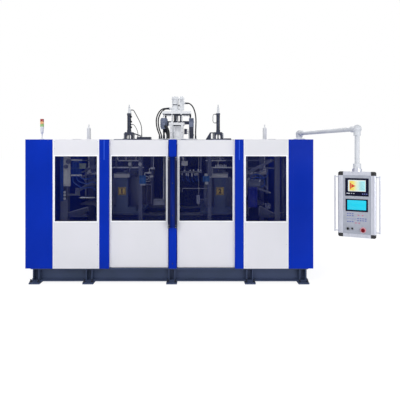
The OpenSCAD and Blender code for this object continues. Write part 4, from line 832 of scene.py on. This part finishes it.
# Cabinet ends: quarter-turn locks and lift-off hinges on the two door leaves.
CABINET_END = 2.305
for side, name in ((-1, "left"), (1, "right")):
    x = side * CABINET_END
    locks = []
    for y in (-0.06, 0.06):
        for z in (0.6, 1.27, 1.94):
            cup = turned("lock", (0, 0, 0), "x", [(0, 0.0), (0, 0.019), (0.004, 0.019), (0.006, 0.016),
                (0.006, 0.009), (0.003, 0.008), (0.003, 0.0)])
            if side < 0:
                cup.data.transform(Matrix.Rotation(math.pi, 4, "Z"))
            cup.data.transform(Matrix.Translation((x, y, z)))
            locks.append(cup)
    fix(name + "_cabinet_locks", locks, control_plastic)
    hinge = rod("hinge", (0, 0, 0), "z", 0.09, 0.007, 0.002, 16)
    leaf = block("leaf", (-0.003, -0.024, -0.04), (0.001, 0.024, 0.04), 0.001)
    hinge = joined("hinge", [hinge, leaf])
    keep(copies(name + "_cabinet_hinges", hinge, [(x, y, z) for y in (-0.958, 0.958)
        for z in (0.5, 1.27, 2.04)]), blue_coat)

# Tower: rail under the crossbeam, stop sleeves, bellows round the rods, bolts and small fittings.
keep(block("crossbeam_rail", (-0.155, -0.098, 2.77), (0.322, -0.05, 2.793), 0.002),
    blackened)
stops = [rod("stop", (x, 0, 2.752), "z", 0.058, 0.016, 0.002) for x in (-0.142, 0.313)]
fix("crossbeam_stops", stops, blackened)
folds = [(0.0, 0.017)]
for k in range(7):
    folds += [(0.008 + 0.018 * k, 0.021), (0.017 + 0.018 * k, 0.013)]
folds += [(0.134, 0.0165), (0.134, 0.0), (0.0, 0.0), (0.0, 0.017)]
bellows = [turned("bellows", (x, -0.06, 2.645), "z", folds) for x in (0.03, 0.14)]
fix("rod_bellows", bellows, black_rubber)
CLEVISES = ((0.03, 0.045, 2.634, 0.026), (0.122, 0.038, 2.634, 0.026), (0.02, 0.135, 2.752, 0.018),
    (0.036, 0.022, 2.66, 0.092), (0.13, 0.018, 2.66, 0.092))
clevises = [block("clevis", (x, -0.112, z), (x + w, -0.084, z + h), 0.003) for x, w, z, h in CLEVISES]
fix("rod_clevises", clevises, blackened)
BRACKETS = (
    ((0.173, 2.671), (0.284, 2.671), (0.284, 2.607), (0.222, 2.612), (0.196, 2.65), (0.173, 2.657)),
    ((-0.123, 2.67), (-0.024, 2.67), (-0.024, 2.655), (-0.06, 2.65), (-0.064, 2.612), (-0.09, 2.612),
     (-0.104, 2.57), (-0.123, 2.57)),
)
brackets = [plate("bracket", outline, 0.098, 0.113) for outline in BRACKETS]
fix("guide_beam_brackets", brackets, navy_enamel)
keep(block("tower_lintel", (0.008, -0.1, 2.567), (0.162, -0.082, 2.588), 0.002), blackened)
struts = [rod("strut", (x, -0.092, 2.456), "z", 0.23, 0.005, 0.001, 12) for x in (0.01, 0.162)]
fix("tower_struts", struts, zinc)
keep(pipe("motor_conduit", level(-0.03, ((-0.15, 2.575), (-0.116, 2.545), (-0.088, 2.46), (-0.088, 2.34))),
    0.025, 0.04), black_rubber)
screws("tower_plate_screws", [(x, y, 2.629) for x in (-0.055, 0.065, 0.185) for y in (-0.094, 0.094)],
    0.011, "+z")
screws("crossbeam_screws", [(x, y, 2.835) for x in (-0.165, -0.11, 0.24, 0.295) for y in (-0.07, 0.07)],
    0.01, "+z")
screws("tower_front_screws", [(x, -0.105, z) for x in (-0.035, 0.165) for z in (2.37, 2.45, 2.53)], 0.008)
case("tower_cover", (0.018, -0.0885, 2.35), (0.152, -0.082, 2.568), tower_lightened_enamel, radius=0.0015)
screws("tower_cover_screws", [(x, -0.0885, z) for x in (0.023, 0.147) for z in (2.356, 2.46, 2.562)], 0.003,
       finish=chrome)
servo_band = turned("servo_band", (0.035, 0, 2.95), "z", [(0, 0.054), (0.002, 0.0585), (0.016, 0.0585),
    (0.018, 0.054)])
keep(servo_band, dark_enamel)
for name, x0, x1, y, z0, z1 in (("servo_block_cover", 0.115, 0.187, -0.055, 2.885, 3.075),
        ("servo_cap_cover", -0.014, 0.084, -0.061, 3.062, 3.092)):
    case(name, (x0, y - 0.0055, z0), (x1, y, z1), tower_enamel, 0.008, 0.0015, 0.0015)
screws("servo_screws", [(x, -0.0605, z) for x in (0.1225, 0.1795) for z in (2.895, 2.98, 3.065)], 0.004)
plugs = [turned("plug", (x, -0.056, z), "y", [(0, 0.012), (-0.008, 0.012), (-0.009, 0.0105),
    (-0.009, 0.006), (-0.005, 0.0055), (-0.005, 0.0)]) for x, z in ((0.108, 2.87), (0.108, 2.942))]
fix("servo_plugs", plugs, control_plastic)
case("guide_column_cover", (0.2855, 0.037, 2.553), (0.3735, 0.1525, 2.7225),
    motor_enamel, 0.012)
screws("guide_beam_screws", [(x, 0.112, z) for x in (-0.06, 0.205, 0.25) for z in (2.625, 2.652)], 0.007)

# Lubrication distributor beside the tower's body, with its elbows and rigid pipes.
case("grease_block", (0.2, -0.03, 2.42), (0.25, 0.01, 2.52), dark_enamel, 0.006, 0.0015,
    0.003)
elbows = [rod("elbow", (0.262, -0.01, z), "x", 0.03, 0.008, 0.002, 12) for z in (2.44, 2.47, 2.5)]
fix("grease_elbows", elbows, zinc)
lines = [pipe("line", level(-0.01, ((0.274, z), (0.28 + 0.008 * k, z), (0.28 + 0.008 * k, 2.336))), 0.003,
    0.006) for k, z in enumerate((2.5, 2.47, 2.44))]
fix("grease_pipes", lines, zinc)

# Lift motor: terminal box with its screws.
case("motor_terminal_box", (-0.205, -0.052, 2.585), (-0.148, -0.024, 2.66), motor_enamel,
    0.006, 0.0015)
screws("motor_terminal_screws", [(x, -0.052, z) for x in (-0.201, -0.152) for z in (2.589, 2.656)], 0.003)

# Blow cylinders: tie rods with nuts, straps, base screws; stroke switches on the left one only.
for number, x, body in STATIONS:
    name = body[-1]
    corners = [(x + a, b) for a in (-0.027, 0.027) for b in (-0.027, 0.027)]
    ties = [rod("tie", (u, v, 2.631), "z", 0.29, 0.0045, 0.001, 12) for u, v in corners]
    nuts = [rod("nut", (u, v, z), "z", 0.008, 0.0085, 0.001, 6) for u, v in corners for z in (2.4945, 2.7705)]
    fix("cylinder_ties_" + name, ties + nuts, blackened)
    heights = (2.545, 2.65, 2.74)
    straps = [turned("strap", (x, 0, z), "z", [(0, 0.032), (0, 0.0345), (0.008, 0.0345), (0.008, 0.032)])
        for z in heights]
    fix("switch_straps_" + name, straps, blackened)
    if name == "b":
        switches = [block("switch", (x + 0.03, -0.012, z - 0.012), (x + 0.05, 0.012, z + 0.02), 0.002)
            for z in heights]
        fix("stroke_switches_b", switches, control_plastic)
    screws("blow_base_screws_" + name, [(x + a, y, 2.336) for a in (-0.093, 0.093)
        for y in (-0.085, 0.085)], 0.009, "+z")
    guide = turned("rod_guide", (x, 0, 2.806), "z", [(0, 0.0155), (0, 0.03), (0.012, 0.03), (0.016, 0.0225),
        (0.07, 0.0225), (0.104, 0.0175), (0.108, 0.0155), (0, 0.0155)])
    keep(guide, tower_enamel)
air_post = turned("air_post_sleeve", (-0.786, 0, 2.807), "z", [(0, 0.0062), (0, 0.0085), (0.066, 0.0085),
    (0.068, 0.0062), (0, 0.0062)])
keep(air_post, tower_enamel)

# Base frame: two levelling bolts with lock nuts on each foot plate.
FOOT_X, FOOT_Y = (-2.14, -1.289, 0.04, 1.289, 2.14), 1.04
bolts = [(x + dx, y) for x in FOOT_X for y in (-FOOT_Y, FOOT_Y) for dx in (-0.06, 0.06)]
fix("levelling_bolts", [rod("bolt", (x, y, 0.052), "z", 0.044, 0.011, 0.002, 16) for x, y in bolts]
    + [rod("nut", (x, y, 0.04), "z", 0.016, 0.019, 0.002, 6) for x, y in bolts], blackened)

# Behind the glass: what hangs on the service bars and the legs, in front of the carriages' way.
BAR_Y, LEG_Y, WAY_Y, HANG_Y, LINE_Y, FITTING_Y = -0.83, -0.87, -0.8, -0.82, -0.888, -0.828
blue_tubing = moulded("blue polyurethane tube", "#1f4fae", "#2a5cc0", 0.3)
push_fitting = moulded("white push-in fitting", "#ccd0d9", "#d9dde4", 0.35)
grey_case = moulded("grey green switch case", "#8b9890", "#98a59d", 0.45)
deep_case = coated("deep blue machine enamel", "#12229a", "#172bb0", 0.4, 0.006, 0.0001, 0.2)


def bar(name, a, b, width, y0, y1):
    """A flat bar with rounded ends between two points in X and Z."""
    way = Vector((b[0] - a[0], b[1] - a[1]))
    tilt = math.atan2(way.y, way.x)
    ends = []
    for point, start in ((b, tilt - math.pi / 2), (a, tilt + math.pi / 2)):
        for k in range(7):
            turn = start + math.pi * k / 6
            ends.append((point[0] + width / 2 * math.cos(turn), point[1] + width / 2 * math.sin(turn)))
    return plate(name, ends, y0, y1, 0.0015)


# Masts and carriers that hold the rest.
masts = [block("mast", (x - 0.014, WAY_Y - 0.012, z0), (x + 0.014, WAY_Y + 0.008, 1.835), 0.002)
         for x, z0 in ((-1.39, 1.33), (1.375, 1.2), (1.6, 1.41))]
masts += [block("mast", (x - 0.012, BAR_Y + 0.01, 1.76), (x + 0.012, -0.79, 2.2), 0.002)
    for x in (0.24, 0.505)]
MASTS = (
    ((-0.9, BAR_Y - 0.004, 1.83), (-0.87, BAR_Y + 0.012, 2.02), 0.002),
    ((1.832, -0.85, 1.0), (1.872, -0.8, 2.2), 0.003),
    ((-1.668, -0.86, 1.385), (-1.47, -0.83, 1.415), 0.002),
    ((0.44, BAR_Y - 0.01, 1.31), (0.62, BAR_Y + 0.005, 1.332), 0.002),
)
masts += [block("mast", low, high, radius) for low, high, radius in MASTS]
fix("service_masts", masts, frame_coat)

# Hanging rods with their bars, and the tubes and pipes that stand upright.
HANG_X = (-0.867, -0.726, -0.561, 0.647, 0.82)
rods = [rod("hanger", (x, HANG_Y, 2.075), "z", 0.24, 0.01, 0.001, 16) for x in HANG_X]
nuts = [rod("nut", (x, HANG_Y, z), "z", 0.014, 0.018, 0.001, 6) for x in HANG_X for z in (1.977, 1.995)]
fix("hanger_rods", rods + nuts, zinc)
hung = [block("bar", (x0, -0.832, 1.947), (x1, -0.808, 1.963), 0.003)
    for x0, x1 in ((-0.85, -0.488), (0.581, 0.912))]
fix("hanger_bars", hung, tower_enamel)
fix("air_tubes_left", [rod("tube", (x, -0.884, 1.66), "z", 0.72, 0.012, 0.002, 16)
    for x in (-1.775, -1.748)], blue_tubing)
bank = [rod("tube", (-1.6 + 0.024 * k, -0.85, 1.845), "z", 0.25, 0.0075, 0.001, 12) for k in range(7)]
fix("tube_bank", bank, blue_tubing)
ends = [block("end", (-1.615, -0.868, z - 0.014), (-1.441, -0.828, z + 0.014), 0.003) for z in (1.715, 1.966)]
fix("tube_bank_manifolds", ends, tower_enamel)
keep(pipe("pale_pipe_centre", [(-0.1, HANG_Y, 2.2), (-0.1, HANG_Y, 1.7), (-0.1, -0.86, 1.66),
    (-0.1, -0.86, 1.32)], 0.013, 0.03), tower_enamel)
keep(pipe("pale_pipe_right", [(1.264, HANG_Y, 2.2), (1.264, HANG_Y, 1.4), (1.264, -0.78, 1.36)], 0.007),
    tower_enamel)
keep(pipe("guard_pipe", level(BAR_Y, ((0.62, 1.5), (0.2, 1.5), (0.2, 1.44))), 0.006), zinc)

# Guide pulleys at the left leg's head: a groove, a web and a hub.
wheels = []
PULLEYS = ((-1.645, 1.943, 0.04), (-1.688, 1.861, 0.032))
for x, z, r in PULLEYS:
    wheels.append(turned("wheel", (x, LEG_Y - 0.03, z), "y", [(0.014, 0.006), (0.014, 0.012),
        (0.008, 0.014), (0.008, 0.75 * r), (0.014, 0.8 * r), (0.014, r), (0.006, 0.86 * r),
        (-0.006, 0.86 * r), (-0.014, r), (-0.014, 0.8 * r), (-0.008, 0.75 * r), (-0.008, 0.014),
        (-0.018, 0.012), (-0.018, 0.0), (0.014, 0.0), (0.014, 0.006)]))
fix("guide_pulleys", wheels, lever_coat)
screws("pulley_hubs", [(x, LEG_Y - 0.036, z) for x, z, r in PULLEYS], 0.012, finish=chrome)

# Levers of the take-out drive at both ends, with a pivot bolt at each end.
LEVERS = (((-1.47, 1.755), (-1.19, 1.885), 0.03), ((-1.42, 1.7), (-1.17, 1.8), 0.02),
    ((-1.5, 1.745), (-1.39, 1.63), 0.026), ((-1.54, 1.44), (-1.2, 1.655), 0.045),
    ((-1.39, 1.56), (-1.17, 1.56), 0.02), ((1.29, 1.765), (1.655, 1.955), 0.05),
    ((1.3, 1.7), (1.56, 1.8), 0.026), ((1.42, 1.506), (1.64, 1.43), 0.032),
    ((1.47, 1.62), (1.6, 1.5), 0.024))
levers, pivots = [], []
for k, (a, b, width) in enumerate(LEVERS):
    back = -0.812 - 0.012 * (k % 3)
    levers.append(bar("lever", a, b, width, back - 0.01, back))
    pivots += [(point[0], back - 0.01, point[1]) for point in (a, b)]
fix("take_out_levers", levers, lever_coat)
screws("lever_pivots", pivots, 0.009, finish=chrome)
case("lever_bracket", (-1.545, -0.87, 1.415), (-1.475, -0.84, 1.51), lever_coat)
stopper = turned("stop_cylinder", (-1.48, -0.845, 1.346), "x", [(0, 0), (0, 0.018), (0.02, 0.018),
    (0.024, 0.021), (0.2, 0.021), (0.204, 0.018), (0.235, 0.018), (0.235, 0.008), (0.26, 0.008),
    (0.262, 0.0)])
keep(stopper, turned_steel)

# Chutes at both ends.
CHUTES = (
    (((-1.72, 1.07), (-1.7, 1.1), (-1.34, 1.2), (-1.33, 1.13), (-1.46, 1.07)), -0.86, -0.852),
    (((-1.66, 1.03), (-1.66, 1.07), (-1.36, 1.07), (-1.36, 1.03)), -0.85, -0.76),
    (((1.45, 1.2), (1.48, 1.21), (1.69, 1.1), (1.86, 1.112), (1.86, 1.096), (1.68, 1.06), (1.47, 1.05)),
     -0.86, -0.852),
    (((1.47, 1.02), (1.47, 1.05), (1.72, 1.06), (1.72, 1.02)), -0.85, -0.76),
)
chutes = [plate("chute", outline, y0, y1) for outline, y0, y1 in CHUTES]
fix("delivery_chutes", chutes, chute_coat)
EDGES = (
    ((-1.72, 1.07), (-1.7, 1.1), (-1.34, 1.2), (-1.33, 1.13)),
    ((1.455, 1.06), (1.455, 1.2), (1.485, 1.21), (1.69, 1.1), (1.86, 1.108)),
)
edges = [pipe("edge", level(-0.864, way), 0.005, 0.01) for way in EDGES]
fix("chute_edges", edges, rolled_steel)

# Valve plate before the left leg, with the hand knobs of its lower strip.
case("valve_plate_left", (-1.735, LEG_Y - 0.012, 1.54), (-1.622, LEG_Y + 0.006, 2.016),
    tower_enamel, 0.008)
case("valve_strip_left", (-1.735, LEG_Y - 0.01, 1.32), (-1.682, LEG_Y + 0.006, 1.545),
    chute_coat, 0.006)
grips = [turned("grip", (-1.708, LEG_Y - 0.009, z), "y", [(0, 0.008), (-0.008, 0.009), (-0.01, 0.02),
    (-0.024, 0.021), (-0.028, 0.017), (-0.029, 0.0), (0, 0.0), (0, 0.008)])
    for z in (1.34, 1.397, 1.443, 1.56)]
fix("valve_grips", grips, push_fitting)

# Loose air hoses between the units.
LOOPS = (
    ((-1.58, 1.715), (-1.58, 1.6), (-1.42, 1.5), (-1.28, 1.53), (-1.2, 1.47)),
    ((-1.53, 1.715), (-1.5, 1.62), (-1.36, 1.57), (-1.26, 1.62), (-1.19, 1.58)),
    ((-1.47, 1.715), (-1.44, 1.66), (-1.3, 1.66), (-1.22, 1.72)),
    ((1.31, 1.645), (1.33, 1.72), (1.43, 1.74), (1.52, 1.69), (1.56, 1.58), (1.49, 1.52)),
    ((1.36, 1.645), (1.4, 1.7), (1.49, 1.66), (1.58, 1.69), (1.6, 1.78)),
)
loops = [pipe("loop", level(-0.875, way), 0.009, 0.045) for way in LOOPS]
fix("air_loops", loops, blue_tubing)

# Service units: switch case, regulators with knobs, valve boxes with fittings, terminal boxes.
case("pressure_switch", (-1.47, -0.9, 1.825), (-1.37, -0.84, 1.91), grey_case)
knobs = []
for x in (-0.655, -0.487):
    case("regulator_%d" % round(-1000 * x), (x - 0.026, -0.845, 1.842), (x + 0.026, -0.8, 1.95),
        grey_case, 0.005)
    knobs.append(turned("knob", (x, -0.845, 1.9), "y", [(0, 0.022), (-0.006, 0.028), (-0.026, 0.029),
        (-0.031, 0.026), (-0.032, 0.012), (-0.029, 0.0), (0, 0.0), (0, 0.022)]))
fix("regulator_knobs", knobs, push_fitting)
case("valve_box_left", (-0.495, -0.906, 1.58), (-0.39, -0.868, 1.72), valve_enamel)
case("valve_box_right", (0.534, -0.906, 1.615), (0.645, -0.868, 1.708), valve_enamel)
HEADS = (((0.565, 1.71), (0.62, 1.745)), ((0.575, 1.57), (0.625, 1.613)), ((-0.48, 1.555), (-0.4, 1.578)))
heads = [block("head", (x0, -0.9, z0), (x1, -0.872, z1), 0.004) for (x0, z0), (x1, z1) in HEADS]
fix("valve_heads", heads, push_fitting)
RISER = level(LINE_Y, ((-0.41, 1.72), (-0.41, 1.757), (-0.332, 1.757), (-0.332, 1.832), (-0.275, 1.832)))
LINES = (
    (RISER + [(-0.275, HANG_Y, 1.832), (-0.275, HANG_Y, 2.2)], 0.008, 0.015),
    (level(LINE_Y, ((-0.39, 1.7), (-0.35, 1.7), (-0.35, 1.655), (-0.39, 1.655))), 0.006, 0.012),
    (level(LINE_Y, ((-0.39, 1.62), (-0.322, 1.62), (-0.322, 1.7), (-0.3, 1.7))), 0.005, 0.012),
    (((0.645, LINE_Y, 1.69), (0.69, LINE_Y, 1.69), (0.69, -0.84, 1.74), (0.69, -0.84, 1.85)), 0.006, 0.012),
)
lines = [pipe("line", route, radius, bend) for route, radius, bend in LINES]
fix("valve_lines", lines, push_fitting)
elbows = [rod("elbow", (x, LINE_Y, z), "x", 0.06, 0.016, 0.003, 12)
    for x, z in ((-0.275, 1.832), (-0.332, 1.757), (-0.3, 1.7))]
fix("line_elbows", elbows, push_fitting)
case("junction_box_right", (0.185, -0.865, 1.875), (0.29, -0.83, 1.95), tower_enamel)
case("terminal_box_rear", (-0.455, 0.77, 1.0), (-0.23, 0.82, 1.15), frame_coat)
case("pump_cover_right", (1.28, -0.85, 1.19), (1.43, -0.8, 1.52), deep_case, 0.018)
case("gear_cover_right", (1.285, -0.845, 1.53), (1.49, -0.8, 1.645), motor_enamel, 0.014)
case("manifold_right", (1.268, -0.842, 1.668), (1.412, -0.815, 1.738), lever_coat, 0.006)
case("filter_box_right", (1.558, -0.85, 1.165), (1.645, -0.815, 1.252), lever_coat, 0.008)
case("sensor_plate", (0.434, BAR_Y - 0.03, 1.25), (0.488, BAR_Y - 0.008, 1.39), plate_coat,
    0.006)
case("pipe_box_centre", (-0.27, -0.876, 1.228), (-0.082, -0.84, 1.328), plate_coat)

# Distributor bar of the right door's window with its fittings and short tubes.
keep(block("distributor_bar", (0.17, -0.845, 1.752), (0.52, -0.81, 1.785), 0.003),
    darkened_aluminium)
FITTINGS = ((0.194, 1.722), (0.238, 1.8), (0.296, 1.705), (0.33, 1.8), (0.358, 1.7), (0.409, 1.717),
    (0.458, 1.81), (0.502, 1.8), (0.265, 1.715), (0.385, 1.805), (0.44, 1.72))
bodies = []
for x, z in FITTINGS:
    face = 1.785 if z > 1.76 else 1.752
    bodies.append(rod("fitting", (x, FITTING_Y, (z + face) / 2), "z", abs(z - face) + 0.012, 0.011, 0.002,
        12))
fix("distributor_fittings", bodies, push_fitting)
drops = [pipe("drop", level(FITTING_Y, ((x, z), (x, z - 0.05), (x + 0.03, z - 0.1))), 0.005, 0.02)
         for x, z in FITTINGS if z < 1.76]
fix("distributor_tubes", drops, blue_tubing)
studs = [rod("stud", (0.75 + 0.028 * k, HANG_Y, 1.868), "z", 0.036 + 0.012 * (k % 2), 0.009, 0.002, 12)
    for k in range(7)]
fix("crown_fittings", studs, push_fitting)
crown_bars = [block("bar", (x0, -0.834, 1.836), (x1, -0.806, 1.852), 0.003)
    for x0, x1 in ((-0.95, -0.43), (0.64, 1.02))]
fix("crown_bars", crown_bars, tower_enamel)

# Hose carrier beside the inner left leg: links with a bright pin on each side.
link = block("link", (-0.034, -0.012, -0.011), (0.034, 0.012, 0.0095), 0.003)
links = [(x, -0.852, 1.25 + 0.0215 * k) for x in (-0.418, -0.342) for k in range(15)]
keep(copies("carrier_links", link, links), cap_plastic)
screws("carrier_pins", [(x + dx, -0.864, z) for x, y, z in links[::2] for dx in (-0.026, 0.026)], 0.0045,
    finish=chrome)
keep(block("carrier_plate", (-0.458, -0.842, 1.24), (-0.3, -0.834, 1.575), 0.002), plate_coat)
